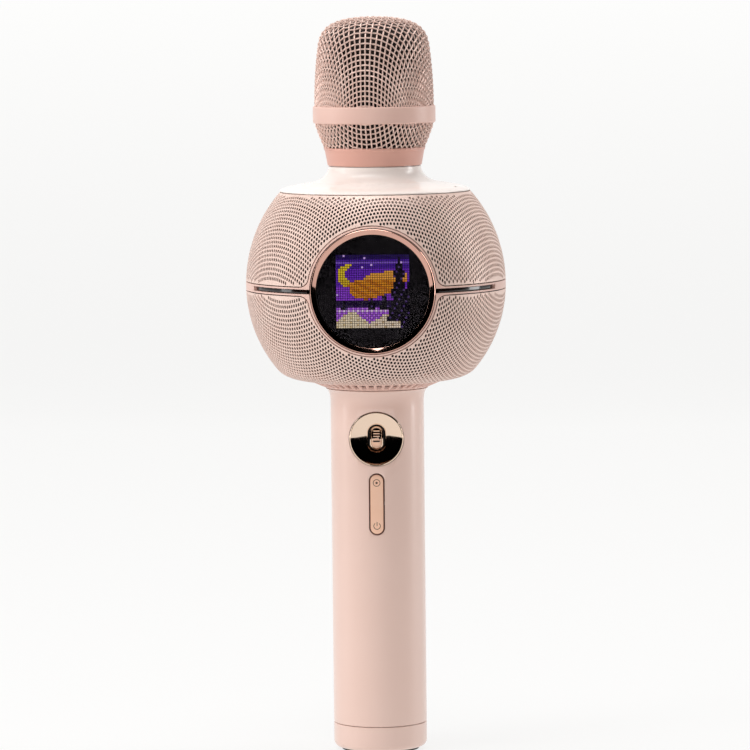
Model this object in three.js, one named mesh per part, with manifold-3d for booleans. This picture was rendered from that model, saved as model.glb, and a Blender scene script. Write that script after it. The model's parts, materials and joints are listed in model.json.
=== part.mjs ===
// A karaoke microphone: a grip with a battery and two controls, a round loudspeaker body with
// an LED picture display in its front, and a screw-on wire-mesh head over the voice capsule.
// Millimetres, +Z up, the display faces -Y, the origin is the middle of the foot's underside.

import * as THREE from "three";
import { mergeVertices } from "three/addons/utils/BufferGeometryUtils.js";
import Module from "manifold-3d";

// ---------------------------------------------------------------- driving dimensions, mm
const GAP = 0.3; // between pieces that are assembled side by side
const SEAM = 0.2; // visible seam between two casings
const ROUND = 32; // facets round a large piece
const FINE = 12; // facets round a small piece

const FOOT_RADIUS = 15.6;
const FOOT_THICKNESS = 1.0;

const CAP_HEIGHT = 10.0;
const CAP_EDGE_RADIUS = 3.0;
const CAP_FLOOR = 3.4;
const CAP_SPIGOT = 5.0; // how far the cap's collar reaches up inside the handle

const HANDLE_RADIUS = 18.75;
const HANDLE_WALL = 2.0;
const HANDLE_LENGTH = 135.0;
const HANDLE_FLARE = 1.75; // the top spreads by this much to meet the vent ring
const HANDLE_FLARE_HEIGHT = 6.0;

const BATTERY_RADIUS = 9.2; // an 18650 cell
const BATTERY_LENGTH = 65.2;
const BATTERY_Y = -2.0;

const USB_WIDTH = 9.0; // a USB-C socket
const USB_HEIGHT = 3.2;
const USB_DEPTH = 7.4;
const USB_Z = 24.0;

const BOARD_THICKNESS = 1.6;
const BUTTON_BOARD_THICKNESS = 1.2;
const BOARD_HALF_WIDTH = 9.0;
const CHASSIS_WALL = 1.2;

const ROCKER_Z = 100.9;
const ROCKER_WIDTH = 5.9;
const ROCKER_LENGTH = 24.5;
const ROCKER_PROUD = 0.3; // above the handle's front
const ROCKER_POST_SPACING = 17.3; // between the two icons, and the two switches under them
const ROCKER_PIN_RADIUS = 0.75;
const TACT_HEIGHT = 2.7;
const TACT_SIZE = 4.4;

const DISH_Z = 127.0;
const DISH_RADIUS = 10.85;
const DISH_RIM = 0.65;
const DISH_DEPTH = 2.0; // from the mirror's edge to its middle
const DISH_FLOOR = 1.5;
const WELL_WIDTH = 7.0;
const WELL_LENGTH = 10.6;
const KEY_WIDTH = 5.3;
const KEY_LENGTH = 9.4;
const KEY_HEIGHT = 2.2; // the key's crest above the middle of the mirror
const TOGGLE_DEPTH = 4.0;

const VENT_WIDTH = 7.0; // from the handle's flare out to the grille
const VENT_RISE = 3.0;
const VENT_RIBS = 48;
const VENT_WALL = 1.4;

const BALL_RADIUS = 52.0;
const BALL_UPPER_HALF = 54.5; // half height of the ellipse above the belt
const BALL_LOWER_HALF = 52.5; // and below it
const BALL_TOP_CUT = 37.1; // height of the grille's top edge over the belt
const BALL_BOTTOM_CUT = 38.3; // drop of its bottom edge under the belt
const BALL_BOTTOM_TURN = 4.6; // height of the turned-in bottom edge
const GRILLE_WALL = 0.8;
const INNER_SHELL_WALL = 1.5;

const BELT_HEIGHT = 3.2;
const BELT_WALL = 2.7;
const BELT_GAP = 0.4; // dark line between the belt and each grille
const SLOT_HEIGHT = 1.85;
const SLOT_END_ANGLE = 67; // degrees each way from the front
const EYE_FILLET = 4.0; // where the belt opens round the display

const DISPLAY_RADIUS = 24.5;
const BEZEL_WIDTH = 2.4;
const BEZEL_DISH = 0.9; // how far the bezel slopes in to the lens
const BEZEL_PROUD = 0.7;
const LENS_THICKNESS = 1.4;
const PICTURE_MARGIN = 1.66; // from the lit square's corners to the lens edge
const PANEL_MARGIN = 2.0;
const PANEL_THICKNESS = 2.0;
const HOUSING_DEPTH = 11.0;
const HOUSING_WALL = 1.5;

const CORE_RING_WIDTH = 5.0;
const CORE_RING_HEIGHT = 6.0;
const BAFFLE_Y = 8.0;
const BAFFLE_THICKNESS = 3.0;
const BAFFLE_MARGIN = 9.5; // inside the ball's outer radius
const POST_WALL = 2.5;

const DRIVER_RADIUS = 33.0;
const DRIVER_FLANGE = 2.0;
const DRIVER_DEPTH = 19.0;
const MAGNET_RADIUS = 17.0;
const MAGNET_HEIGHT = 12.0;
const CONE_TRAVEL = 0.8;

const NECK_RADIUS = 18.6;
const NECK_WALL = 2.0;
const NECK_HEIGHT = 9.9; // from the grille's top edge up to the head joint
const NECK_SHOULDER = 3.6; // height of the low cone under the neck
const SPIGOT_HEIGHT = 6.6;
const PINHOLE_RADIUS = 0.8;

const COLLAR_HEIGHT = 7.3;
const COLLAR_SPREAD = 1.5; // its top is this much wider than its foot
const BASKET_HEIGHT = 9.6;
const MESH_RADIUS = 24.0;
const MESH_WALL = 0.9;
const BAND_RADIUS = 24.5;
const BAND_HEIGHT = 6.8;
const BAND_WALL = 1.9;
const DOME_HEIGHT = 35.7;
const DOME_SHOULDER = 24.8; // height of the straight side of the dome
const DOME_TAPER = 1.5;
const FOAM_WALL = 4.0;

const CAPSULE_RADIUS = 12.2;
const CAPSULE_HEIGHT = 10.0;
const CAPSULE_STEM = 14.0;

const SCREW_RADIUS = 1.2;
const SCREW_HEAD_RADIUS = 2.2;
const SCREW_HEAD_HEIGHT = 1.6;
const SCREW_CLEARANCE = 0.25;

// ---------------------------------------------------------------- places worked out from them
const capBottom = FOOT_THICKNESS;
const capTop = capBottom + CAP_HEIGHT;
const handleBottom = capTop + SEAM;
const handleTop = handleBottom + HANDLE_LENGTH;
const handleBore = HANDLE_RADIUS - HANDLE_WALL;
const ventInner = HANDLE_RADIUS + HANDLE_FLARE;
const ventOuter = ventInner + VENT_WIDTH;
const ballZ = handleTop + SEAM + VENT_RISE + BALL_BOTTOM_CUT;
const neckBottom = ballZ + BALL_TOP_CUT + GAP;
const neckTop = neckBottom + NECK_HEIGHT;
const headBottom = neckTop + GAP;
const bandBottom = headBottom + COLLAR_HEIGHT + BASKET_HEIGHT;
const domeBottom = bandBottom + BAND_HEIGHT;

// The handle's controls, counted inwards from its front.
const dishEdgeY = -Math.sqrt(HANDLE_RADIUS ** 2 - DISH_RADIUS ** 2) + 0.45;
const dishMiddleY = dishEdgeY + DISH_DEPTH;
const dishBackY = dishMiddleY + DISH_FLOOR;
const toggleFrontY = dishBackY + GAP;
const mainBoardFrontY = toggleFrontY + TOGGLE_DEPTH;
const chassisFrontY = mainBoardFrontY + BOARD_THICKNESS;
const chassisBackY = chassisFrontY + 1.8;
const keyPivotY = toggleFrontY + 0.9;
const rockerFrontY = -HANDLE_RADIUS - ROCKER_PROUD;
const rockerBackY = -handleBore + 0.35;
const rockerPostY = rockerBackY + 1.1;
const plungerY = rockerPostY + GAP;
const buttonBoardFrontY = plungerY + TACT_HEIGHT;
const buttonBoardBackY = buttonBoardFrontY + BUTTON_BOARD_THICKNESS;
const rockerPinY = rockerBackY + 1.8;

// Heights inside the handle.
const chassisFloor = capTop + CAP_SPIGOT + GAP;
const batteryBottom = chassisFloor + 2.7;
const batteryTop = batteryBottom + BATTERY_LENGTH;
const bulkheadBottom = batteryTop + GAP;
const chassisTop = handleTop - 3.4;
const corePlateBottom = chassisTop + GAP;

// ---------------------------------------------------------------- solids
const wasm = await Module();
wasm.setup();

// A closed three.js geometry as a manifold-3d solid that faces outwards.
function solid(geometry) {
  const bare = geometry.index ? geometry.toNonIndexed() : geometry.clone();
  for (const name of Object.keys(bare.attributes)) {
    if (name !== "position") bare.deleteAttribute(name);
  }
  const merged = mergeVertices(bare, 1e-4);
  const corners = merged.index.array;
  const kept = [];
  for (let i = 0; i < corners.length; i += 3) {
    const [a, b, c] = corners.slice(i, i + 3);
    if (a !== b && b !== c && c !== a) kept.push(a, b, c);
  }
  const build = (triVerts) =>
    new wasm.Manifold(
      new wasm.Mesh({
        numProp: 3,
        vertProperties: new Float32Array(merged.attributes.position.array),
        triVerts: new Uint32Array(triVerts),
      }),
    );
  const made = build(kept);
  return made.volume() < 0 ? build(kept.reverse()) : made;
}

// The solid's surface as a three.js geometry.
function surface(made) {
  const mesh = made.getMesh();
  const geometry = new THREE.BufferGeometry();
  geometry.setAttribute("position", new THREE.BufferAttribute(mesh.vertProperties, 3));
  geometry.setIndex(new THREE.BufferAttribute(mesh.triVerts, 1));
  geometry.computeVertexNormals();
  return geometry;
}

// Points of an outline given as corners [x, y] or as a THREE.Path.
function points(outline, divisions) {
  if (outline instanceof THREE.Path) {
    return outline.getPoints(divisions);
  }
  return outline.map(([x, y]) => new THREE.Vector2(x, y));
}

// Revolves a closed outline of [radius, height] about +Z.
function turnedZ(outline, facets = ROUND, divisions = 3) {
  const ring = points(outline, divisions);
  ring.push(ring[0].clone());
  return solid(new THREE.LatheGeometry(ring, facets).rotateX(Math.PI / 2));
}

// Revolves a closed outline of [radius, y] about the Y axis.
function turnedY(outline, facets = ROUND, divisions = 3) {
  const ring = points(outline, divisions);
  ring.push(ring[0].clone());
  return solid(new THREE.LatheGeometry(ring, facets));
}

function cylinderZ(radius, bottom, top, facets = ROUND) {
  return solid(
    new THREE.CylinderGeometry(radius, radius, top - bottom, facets)
      .rotateX(Math.PI / 2)
      .translate(0, 0, (bottom + top) / 2),
  );
}

function cylinderY(radius, front, back, facets = ROUND) {
  return solid(
    new THREE.CylinderGeometry(radius, radius, back - front, facets).translate(
      0,
      (front + back) / 2,
      0,
    ),
  );
}

function cylinderX(radius, length, facets = FINE) {
  return solid(
    new THREE.CylinderGeometry(radius, radius, length, facets).rotateZ(Math.PI / 2),
  );
}

function block([x0, x1], [y0, y1], [z0, z1]) {
  return solid(
    new THREE.BoxGeometry(x1 - x0, y1 - y0, z1 - z0).translate(
      (x0 + x1) / 2,
      (y0 + y1) / 2,
      (z0 + z1) / 2,
    ),
  );
}

// A shape drawn in X and Z, made thick from front to back.
function slabY(shape, front, back, facets = 8) {
  const settings = { depth: back - front, bevelEnabled: false, curveSegments: facets };
  return solid(
    new THREE.ExtrudeGeometry(shape, settings).rotateX(Math.PI / 2).translate(0, back, 0),
  );
}

// A slot shape with round ends, upright in X and Z.
function obround(width, length) {
  const r = width / 2;
  const straight = (length - width) / 2;
  const shape = new THREE.Shape();
  shape.absarc(0, straight, r, 0, Math.PI, false);
  shape.absarc(0, -straight, r, Math.PI, 2 * Math.PI, false);
  return shape;
}

const ringZ = (inner, outer, bottom, top, facets = ROUND) =>
  cylinderZ(outer, bottom, top, facets).subtract(
    cylinderZ(inner, bottom - 1, top + 1, facets),
  );

const ringY = (inner, outer, front, back, facets = ROUND) =>
  cylinderY(outer, front, back, facets).subtract(
    cylinderY(inner, front - 1, back + 1, facets),
  );

// ---------------------------------------------------------------- finishes
const finish = (color, roughness, metalness) => ({ color, roughness, metalness });
const PINK_GLOSS = finish("#ebcfc4", 0.22, 0);
const PINK_PEARL = finish("#f6e9e2", 0.18, 0);
const PINK_SATIN = finish("#deb8ad", 0.4, 0.1);
const PINK_MESH = finish("#cfa99c", 0.38, 0.55);
const ROSE_MIRROR = finish("#c99a86", 0.06, 1);
const ROSE_GOLD = finish("#e7b596", 0.2, 1);
const BLACK_GLASS = finish("#050505", 0.04, 0);
const BLACK_PLASTIC = finish("#161413", 0.55, 0);
const SMOKED = finish("#120808", 0.12, 0);
const LED_BLACK = finish("#18101f", 0.5, 0);
const RUBBER = finish("#3a3434", 0.85, 0);
const FOAM = finish("#2a2422", 0.95, 0);
const STEEL = finish("#b9bbbd", 0.3, 1);
const FERRITE = finish("#2c2c2e", 0.6, 0.1);
const PAPER = finish("#2b2b2d", 0.8, 0);
const GREEN_BOARD = finish("#1f5a3c", 0.45, 0);
const BATTERY_WRAP = finish("#4a7fb5", 0.4, 0);
const CAPSULE_METAL = finish("#c9a54e", 0.3, 1);

function piece(name, made, look) {
  const mesh = new THREE.Mesh(surface(made), new THREE.MeshStandardMaterial(look));
  mesh.name = name;
  return mesh;
}

// ---------------------------------------------------------------- screws
// A socket-head screw: its head's seat is at the origin and its shank points down -Z.
function screw(name, length) {
  const shank = cylinderZ(SCREW_RADIUS, -length, 0.1, FINE);
  const head = cylinderZ(SCREW_HEAD_RADIUS, 0, SCREW_HEAD_HEIGHT, FINE);
  const socket = cylinderZ(1.1, 0.7, SCREW_HEAD_HEIGHT + 1, 6);
  return piece(name, shank.add(head).subtract(socket), STEEL);
}

const screwHole = (x, y, bottom, top, radius) =>
  cylinderZ(radius, bottom, top, FINE).translate(x, y, 0);

// ---------------------------------------------------------------- base
const CAP_SCREW_X = 9.5;
const CAP_SCREW_LENGTH = 9.0;
const capScrewSeat = capBottom + SCREW_HEAD_HEIGHT + 0.2;

function baseFoot() {
  return piece("base_foot", cylinderZ(FOOT_RADIUS, 0, FOOT_THICKNESS), RUBBER);
}

function baseCap() {
  const outline = new THREE.Path();
  const corner = HANDLE_RADIUS - CAP_EDGE_RADIUS;
  const spigot = handleBore - SEAM;
  outline.moveTo(0, capBottom);
  outline.lineTo(corner, capBottom);
  outline.absarc(corner, capBottom + CAP_EDGE_RADIUS, CAP_EDGE_RADIUS, -Math.PI / 2, 0, false);
  outline.lineTo(HANDLE_RADIUS, capTop);
  outline.lineTo(spigot, capTop);
  outline.lineTo(spigot, capTop + CAP_SPIGOT);
  outline.lineTo(spigot - 1.8, capTop + CAP_SPIGOT);
  outline.lineTo(spigot - 1.8, capBottom + CAP_FLOOR);
  outline.lineTo(0, capBottom + CAP_FLOOR);
  let cap = turnedZ(outline);
  for (const x of [-CAP_SCREW_X, CAP_SCREW_X]) {
    cap = cap
      .subtract(screwHole(x, 0, 0, capScrewSeat, SCREW_HEAD_RADIUS + SCREW_CLEARANCE))
      .subtract(screwHole(x, 0, 0, capTop, SCREW_RADIUS + SCREW_CLEARANCE));
  }
  return piece("base_cap", cap, PINK_GLOSS);
}

function capScrews() {
  return [
    ["cap_screw_left", -CAP_SCREW_X],
    ["cap_screw_right", CAP_SCREW_X],
  ].map(([name, x]) => {
    const made = screw(name, CAP_SCREW_LENGTH);
    made.rotation.x = Math.PI; // the head points down
    made.position.set(x, 0, capScrewSeat);
    return made;
  });
}

// ---------------------------------------------------------------- handle
const SLOT_CLEARANCE = 0.2;
const rockerSlot = () =>
  slabY(
    obround(ROCKER_WIDTH + 2 * SLOT_CLEARANCE, ROCKER_LENGTH + 2 * SLOT_CLEARANCE),
    -HANDLE_RADIUS - 2,
    0,
  ).translate(0, 0, ROCKER_Z);

const usbOpening = () => {
  const tall = USB_HEIGHT + 2 * GAP;
  const wide = USB_WIDTH + 2 * GAP;
  return slabY(obround(tall, wide), 0, HANDLE_RADIUS + 2)
    .rotate([0, 90, 0])
    .translate(0, 0, USB_Z);
};

function handleTube() {
  const outline = new THREE.Path();
  const flareFoot = handleTop - HANDLE_FLARE_HEIGHT;
  outline.moveTo(handleBore, handleBottom);
  outline.lineTo(HANDLE_RADIUS, handleBottom);
  outline.lineTo(HANDLE_RADIUS, flareFoot);
  outline.quadraticCurveTo(HANDLE_RADIUS, handleTop - 1, ventInner, handleTop);
  outline.lineTo(handleBore, handleTop);
  const dishHole = cylinderY(DISH_RADIUS + SEAM, -HANDLE_RADIUS - 2, 0).translate(0, 0, DISH_Z);
  const tube = turnedZ(outline)
    .subtract(dishHole)
    .subtract(rockerSlot())
    .subtract(usbOpening());
  return piece("handle_tube", tube, PINK_GLOSS);
}

// ---------------------------------------------------------------- chassis, battery and boards
const CORE_SCREW_X = 10.3;
const CORE_SCREW_LENGTH = 7.5;
const BOSS_RADIUS = 2.7;
const discRadius = handleBore - 0.4;
const railOuter = BOARD_HALF_WIDTH + 1.2;
const railInner = BOARD_HALF_WIDTH + 0.2;

function chassis() {
  const floor = cylinderZ(discRadius, chassisFloor, batteryBottom);
  const cradleBore = BATTERY_RADIUS + GAP;
  const cradle = ringZ(cradleBore, cradleBore + CHASSIS_WALL, batteryBottom - 1, bulkheadBottom + 1)
    .translate(0, BATTERY_Y, 0)
    .subtract(block([-30, 30], [-30, BATTERY_Y + 1], [0, batteryTop + 5]));
  const bulkhead = cylinderZ(discRadius, bulkheadBottom, bulkheadBottom + 2);
  const plate = block(
    [-railOuter, railOuter],
    [chassisFrontY, chassisBackY],
    [bulkheadBottom, chassisTop],
  );
  const top = cylinderZ(discRadius, chassisTop - 2.4, chassisTop);
  let made = floor.add(cradle).add(bulkhead).add(plate).add(top);
  for (const side of [-1, 1]) {
    const [x0, x1] = [side * railInner, side * railOuter].sort((a, b) => a - b);
    const lower = block([x0, x1], [buttonBoardBackY, chassisBackY], [bulkheadBottom, DISH_Z - 13]);
    const upper = block([x0, x1], [toggleFrontY, chassisBackY], [DISH_Z - 13, chassisTop]);
    const lowBoss = screwHole(side * CAP_SCREW_X, 0, capBottom + CAP_FLOOR, batteryBottom, BOSS_RADIUS);
    const topBoss = screwHole(side * CORE_SCREW_X, 0, chassisTop - 6, chassisTop, BOSS_RADIUS);
    made = made.add(lower).add(upper).add(lowBoss).add(topBoss);
  }
  const ledge = block([-7, 7], [BATTERY_Y + BATTERY_RADIUS + 2, handleBore - 2.2], [
    batteryBottom - 0.5,
    USB_Z - USB_HEIGHT / 2 - BUTTON_BOARD_THICKNESS,
  ]);
  made = made.add(ledge);
  const tapped = SCREW_RADIUS + 0.15;
  const capBore = capScrewSeat + CAP_SCREW_LENGTH + 0.6;
  for (const side of [-1, 1]) {
    made = made
      .subtract(screwHole(side * CAP_SCREW_X, 0, 0, capBore, tapped))
      .subtract(screwHole(side * CORE_SCREW_X, 0, chassisTop - 5, chassisTop + 1, tapped));
  }
  return piece("chassis", made, BLACK_PLASTIC);
}

function battery() {
  const nub = cylinderZ(3, BATTERY_LENGTH - 0.2, BATTERY_LENGTH, FINE);
  const can = cylinderZ(BATTERY_RADIUS, 0, BATTERY_LENGTH - 1.2, 32);
  const shoulder = cylinderZ(4.5, 10, BATTERY_LENGTH - 0.2, FINE);
  const made = piece("battery_cell", can.add(shoulder).add(nub), BATTERY_WRAP);
  made.position.set(0, BATTERY_Y, batteryBottom);
  return made;
}

function chargeBoard() {
  const top = USB_Z - USB_HEIGHT / 2;
  const front = BATTERY_Y + BATTERY_RADIUS + 2;
  return piece(
    "charge_board",
    block([-8, 8], [front, handleBore - 2.4], [top - BUTTON_BOARD_THICKNESS, top]),
    GREEN_BOARD,
  );
}

function usbSocket() {
  const back = HANDLE_RADIUS - 0.5;
  const shell = slabY(obround(USB_HEIGHT, USB_WIDTH), back - USB_DEPTH, back);
  const mouth = slabY(obround(USB_HEIGHT - 0.8, USB_WIDTH - 0.8), back - 6, back + 1);
  const tongue = block([-0.35, 0.35], [back - 6.5, back - 1], [-3.2, 3.2]);
  const made = piece("usb_socket", shell.subtract(mouth).add(tongue), STEEL);
  made.rotation.y = Math.PI / 2; // the slot lies level
  made.position.z = USB_Z;
  return made;
}

function mainBoard() {
  const board = block(
    [-BOARD_HALF_WIDTH, BOARD_HALF_WIDTH],
    [mainBoardFrontY, mainBoardFrontY + BOARD_THICKNESS],
    [bulkheadBottom + 2, chassisTop - 2.4 - GAP],
  );
  const chip = block(
    [-4, 4],
    [mainBoardFrontY - 1.2, mainBoardFrontY + 0.5],
    [ROCKER_Z - 4, ROCKER_Z + 4],
  );
  return piece("main_board", board.add(chip), GREEN_BOARD);
}

// ---------------------------------------------------------------- rocker bar
function buttonBoard() {
  return piece(
    "button_board",
    block(
      [-BOARD_HALF_WIDTH, BOARD_HALF_WIDTH],
      [buttonBoardFrontY, buttonBoardBackY],
      [ROCKER_Z - 13.5, ROCKER_Z + 13.5],
    ).add(
      block(
        [-railOuter + 0.4, railOuter - 0.4],
        [buttonBoardFrontY, buttonBoardBackY],
        [ROCKER_Z - 8, ROCKER_Z + 8],
      ),
    ),
    GREEN_BOARD,
  );
}

function tactSwitch(name, z) {
  const half = TACT_SIZE / 2;
  const body = block([-half, half], [plungerY + 1, buttonBoardFrontY], [-half, half]);
  const plunger = cylinderY(1.3, plungerY, buttonBoardFrontY - 0.5, FINE);
  const made = piece(name, body.add(plunger), BLACK_PLASTIC);
  made.position.z = z;
  return made;
}

function rockerBracket() {
  const base = block([-4.4, 4.4], [buttonBoardFrontY - 1, buttonBoardFrontY], [-3, 3]);
  const ears = [-1, 1].map((side) => {
    const [x0, x1] = [side * 3.1, side * 4.3].sort((a, b) => a - b);
    return block([x0, x1], [rockerPinY - 1.3, buttonBoardFrontY - 0.5], [-1.5, 1.5]);
  });
  const bore = cylinderX(ROCKER_PIN_RADIUS + 0.2, 12).translate(0, rockerPinY, 0);
  const made = piece("rocker_bracket", base.add(ears[0]).add(ears[1]).subtract(bore), BLACK_PLASTIC);
  made.position.z = ROCKER_Z;
  return made;
}

function rockerPin() {
  const made = piece("rocker_pin", cylinderX(ROCKER_PIN_RADIUS, 8.4), STEEL);
  made.position.set(0, rockerPinY, ROCKER_Z);
  return made;
}

function rockerBar() {
  const plate = slabY(obround(ROCKER_WIDTH, ROCKER_LENGTH), rockerFrontY + 0.4, rockerBackY);
  const face = slabY(obround(ROCKER_WIDTH - 0.9, ROCKER_LENGTH - 0.9), rockerFrontY, rockerBackY);
  const lug = block([-2.6, 2.6], [rockerBackY - 0.5, rockerPinY + 1.2], [-1.5, 1.5]);
  const bore = cylinderX(ROCKER_PIN_RADIUS + 0.2, 12).translate(0, rockerPinY, 0);
  let bar = plate.add(face).add(lug).subtract(bore);
  for (const z of [-ROCKER_POST_SPACING / 2, ROCKER_POST_SPACING / 2]) {
    bar = bar.add(cylinderY(1.1, rockerBackY - 0.5, rockerPostY, FINE).translate(0, 0, z));
  }
  const made = piece("rocker_bar", bar, ROSE_GOLD);
  made.position.z = ROCKER_Z;
  return made;
}

// ---------------------------------------------------------------- mirror dish and toggle key
function switchDish() {
  const inner = DISH_RADIUS - DISH_RIM;
  const radius = (inner ** 2 + DISH_DEPTH ** 2) / (2 * DISH_DEPTH);
  const start = Math.asin(inner / radius);
  const hollow = new THREE.Path();
  hollow.moveTo(0, -HANDLE_RADIUS - 3);
  hollow.lineTo(inner + 0.2, -HANDLE_RADIUS - 3);
  hollow.lineTo(inner, dishEdgeY);
  hollow.absarc(0, dishMiddleY - radius, radius, Math.PI / 2 - start, Math.PI / 2, false);
  const body = cylinderY(DISH_RADIUS, -HANDLE_RADIUS - 3, dishBackY)
    .subtract(turnedY(hollow))
    .subtract(slabY(obround(WELL_WIDTH, WELL_LENGTH), -HANDLE_RADIUS, 0));
  // The rim follows the curve of the handle and stands just proud of it.
  const grip = cylinderZ(HANDLE_RADIUS + 0.15, -DISH_RADIUS - 2, DISH_RADIUS + 2, 48);
  const made = piece("switch_dish", body.intersect(grip), ROSE_MIRROR);
  made.position.z = DISH_Z;
  return made;
}

function toggleKey() {
  const crestY = dishMiddleY - KEY_HEIGHT;
  const crown = 9.0; // radius of the key's arched front
  const arch = cylinderX(crown, 20, 48).translate(0, crestY + crown, 0);
  const cap = slabY(obround(KEY_WIDTH, KEY_LENGTH), crestY, dishBackY - 0.9).intersect(arch);
  const stem = block([-1.3, 1.3], [dishBackY - 1.5, keyPivotY + 1], [-1.3, 1.3]);
  const made = piece("toggle_key", cap.add(stem), ROSE_MIRROR);
  made.position.z = DISH_Z;
  return made;
}

function toggleSwitch() {
  const body = block([-5, 5], [toggleFrontY, mainBoardFrontY], [-7, 7]);
  const mouth = block([-1.7, 1.7], [toggleFrontY - 1, keyPivotY + 1.6], [-2.2, 2.2]);
  const made = piece("toggle_switch", body.subtract(mouth), BLACK_PLASTIC);
  made.position.z = DISH_Z;
  return made;
}

// ---------------------------------------------------------------- ball body, about the belt's middle
// Half height of the ball's ellipse above or below the belt, less an inward offset.
const halfUp = (offset) => BALL_UPPER_HALF - offset;
const halfDown = (offset) => BALL_LOWER_HALF - offset;
const ballRadiusAt = (z, offset) => {
  const half = z > 0 ? halfUp(offset) : halfDown(offset);
  return (BALL_RADIUS - offset) * Math.sqrt(1 - (z / half) ** 2);
};

// Corner points up one side of the ball at an inward offset, from one height to another.
function ballSide(from, to, offset, steps) {
  const half = to > 0 ? halfUp(offset) : halfDown(offset);
  const [start, end] = [Math.asin(from / half), Math.asin(to / half)];
  return Array.from({ length: steps + 1 }, (_, i) => {
    const angle = start + ((end - start) * i) / steps;
    return [(BALL_RADIUS - offset) * Math.cos(angle), half * Math.sin(angle)];
  });
}

// The front outline of belt and display surround, grown by a margin.
function eyeShape(margin) {
  const ring = DISPLAY_RADIUS + 1.0 + margin;
  const half = BELT_HEIGHT / 2 + margin;
  const fillet = EYE_FILLET - margin;
  const reach = BALL_RADIUS + 5;
  const centreX = Math.sqrt((ring + fillet) ** 2 - (half + fillet) ** 2);
  const touch = Math.atan2(half + fillet, centreX);
  const shape = new THREE.Shape();
  shape.moveTo(reach, half);
  shape.lineTo(centreX, half);
  shape.absarc(centreX, half + fillet, fillet, -Math.PI / 2, Math.PI + touch, true);
  shape.absarc(0, 0, ring, touch, Math.PI - touch, false);
  shape.absarc(-centreX, half + fillet, fillet, -touch, -Math.PI / 2, true);
  shape.lineTo(-reach, half);
  shape.lineTo(-reach, -half);
  shape.lineTo(-centreX, -half);
  shape.absarc(-centreX, -half - fillet, fillet, Math.PI / 2, touch, true);
  shape.absarc(0, 0, ring, Math.PI + touch, 2 * Math.PI - touch, false);
  shape.absarc(centreX, -half - fillet, fillet, Math.PI - touch, Math.PI / 2, true);
  shape.lineTo(reach, -half);
  shape.closePath();
  return shape;
}

const eyeCutter = (margin) => slabY(eyeShape(margin), -BALL_RADIUS - 5, 0, 10);

// A shell of the ball between two offsets, from the belt to one of its cut edges.
function ballShell(side, outerOffset, innerOffset, beltZ, edgeZ, steps) {
  const outer = ballSide(side * beltZ, side * edgeZ, outerOffset, steps);
  const inner = ballSide(side * beltZ, side * edgeZ, innerOffset, steps);
  return turnedZ([...outer, ...inner.reverse()]);
}

const grilleBelt = BELT_HEIGHT / 2 + BELT_GAP;

function upperGrille() {
  const shell = ballShell(1, 0, GRILLE_WALL, grilleBelt, BALL_TOP_CUT, 7);
  return piece("upper_grille", shell.subtract(eyeCutter(BELT_GAP)), PINK_MESH);
}

// The lower grille turns in at its foot to meet the vent ring.
function lowerGrille() {
  const turn = BALL_BOTTOM_CUT - BALL_BOTTOM_TURN;
  const edge = ventOuter + SEAM;
  const skin = (offset) => {
    const side = ballSide(-grilleBelt, -turn, offset, 6);
    const [r, z] = side[side.length - 1];
    const foot = -BALL_BOTTOM_CUT + offset;
    const bend = new THREE.QuadraticBezierCurve(
      new THREE.Vector2(r, z),
      new THREE.Vector2(r - 3.2, foot + 0.6),
      new THREE.Vector2(edge, foot),
    );
    return [...side, ...bend.getPoints(3).slice(1).map((p) => [p.x, p.y])];
  };
  const shell = turnedZ([...skin(0), ...skin(GRILLE_WALL).reverse()]);
  return piece("lower_grille", shell.subtract(eyeCutter(BELT_GAP)), PINK_MESH);
}

function innerShell(name, side, edgeZ) {
  const outer = GRILLE_WALL + GAP;
  const shell = ballShell(side, outer, outer + INNER_SHELL_WALL, grilleBelt, edgeZ, 4);
  return piece(name, shell.subtract(eyeCutter(BELT_GAP)), BLACK_PLASTIC);
}

function beltTrim() {
  const zone = DISPLAY_RADIUS + 3;
  const outer = [...ballSide(-zone, 0, 0, 5), ...ballSide(0, zone, 0, 5).slice(1)];
  const inner = [...ballSide(-zone, 0, BELT_WALL, 5), ...ballSide(0, zone, BELT_WALL, 5).slice(1)];
  const shell = turnedZ([...outer, ...inner.reverse()]);
  const half = BELT_HEIGHT / 2;
  const reach = BALL_RADIUS + 5;
  const front = slabY(eyeShape(0), -reach, 0, 10);
  const back = block([-reach, reach], [-0.01, reach], [-half, half]);
  const opening = cylinderY(DISPLAY_RADIUS + GAP, -reach, 0);
  const band = shell.intersect(front.add(back)).subtract(opening);
  return piece("belt_trim", band.subtract(lightSlot(0, 0)), PINK_SATIN);
}

// The slot that holds the light bars, round the front between its two end angles.
function lightSlot(margin, depth) {
  const half = SLOT_HEIGHT / 2 - margin;
  const end = THREE.MathUtils.degToRad(SLOT_END_ANGLE) - margin / BALL_RADIUS;
  const [inner, outer] = [BALL_RADIUS - BELT_WALL - 1 + depth, BALL_RADIUS + 1 - 2.2 * depth];
  const steps = 28;
  const sector = new THREE.Shape();
  const at = (r, i) => {
    const angle = -Math.PI / 2 - end + (2 * end * i) / steps;
    return new THREE.Vector2(r * Math.cos(angle), r * Math.sin(angle));
  };
  const rim = Array.from({ length: steps + 1 }, (_, i) => at(outer, i));
  const bore = Array.from({ length: steps + 1 }, (_, i) => at(inner, steps - i));
  sector.setFromPoints([...rim, ...bore]);
  const settings = { depth: 2 * half, bevelEnabled: false };
  return solid(new THREE.ExtrudeGeometry(sector, settings).translate(0, 0, -half));
}

// Smoked strips in the slot, one each side of the display.
function lightBar(name, side) {
  const strip = lightSlot(SEAM / 2, 1).subtract(
    cylinderY(DISPLAY_RADIUS + GAP + 0.9, -BALL_RADIUS - 5, 0),
  );
  const reach = BALL_RADIUS + 5;
  const half = block([side > 0 ? 0 : -reach, side > 0 ? reach : 0], [-reach, reach], [-2, 2]);
  return piece(name, strip.intersect(half), SMOKED);
}

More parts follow.
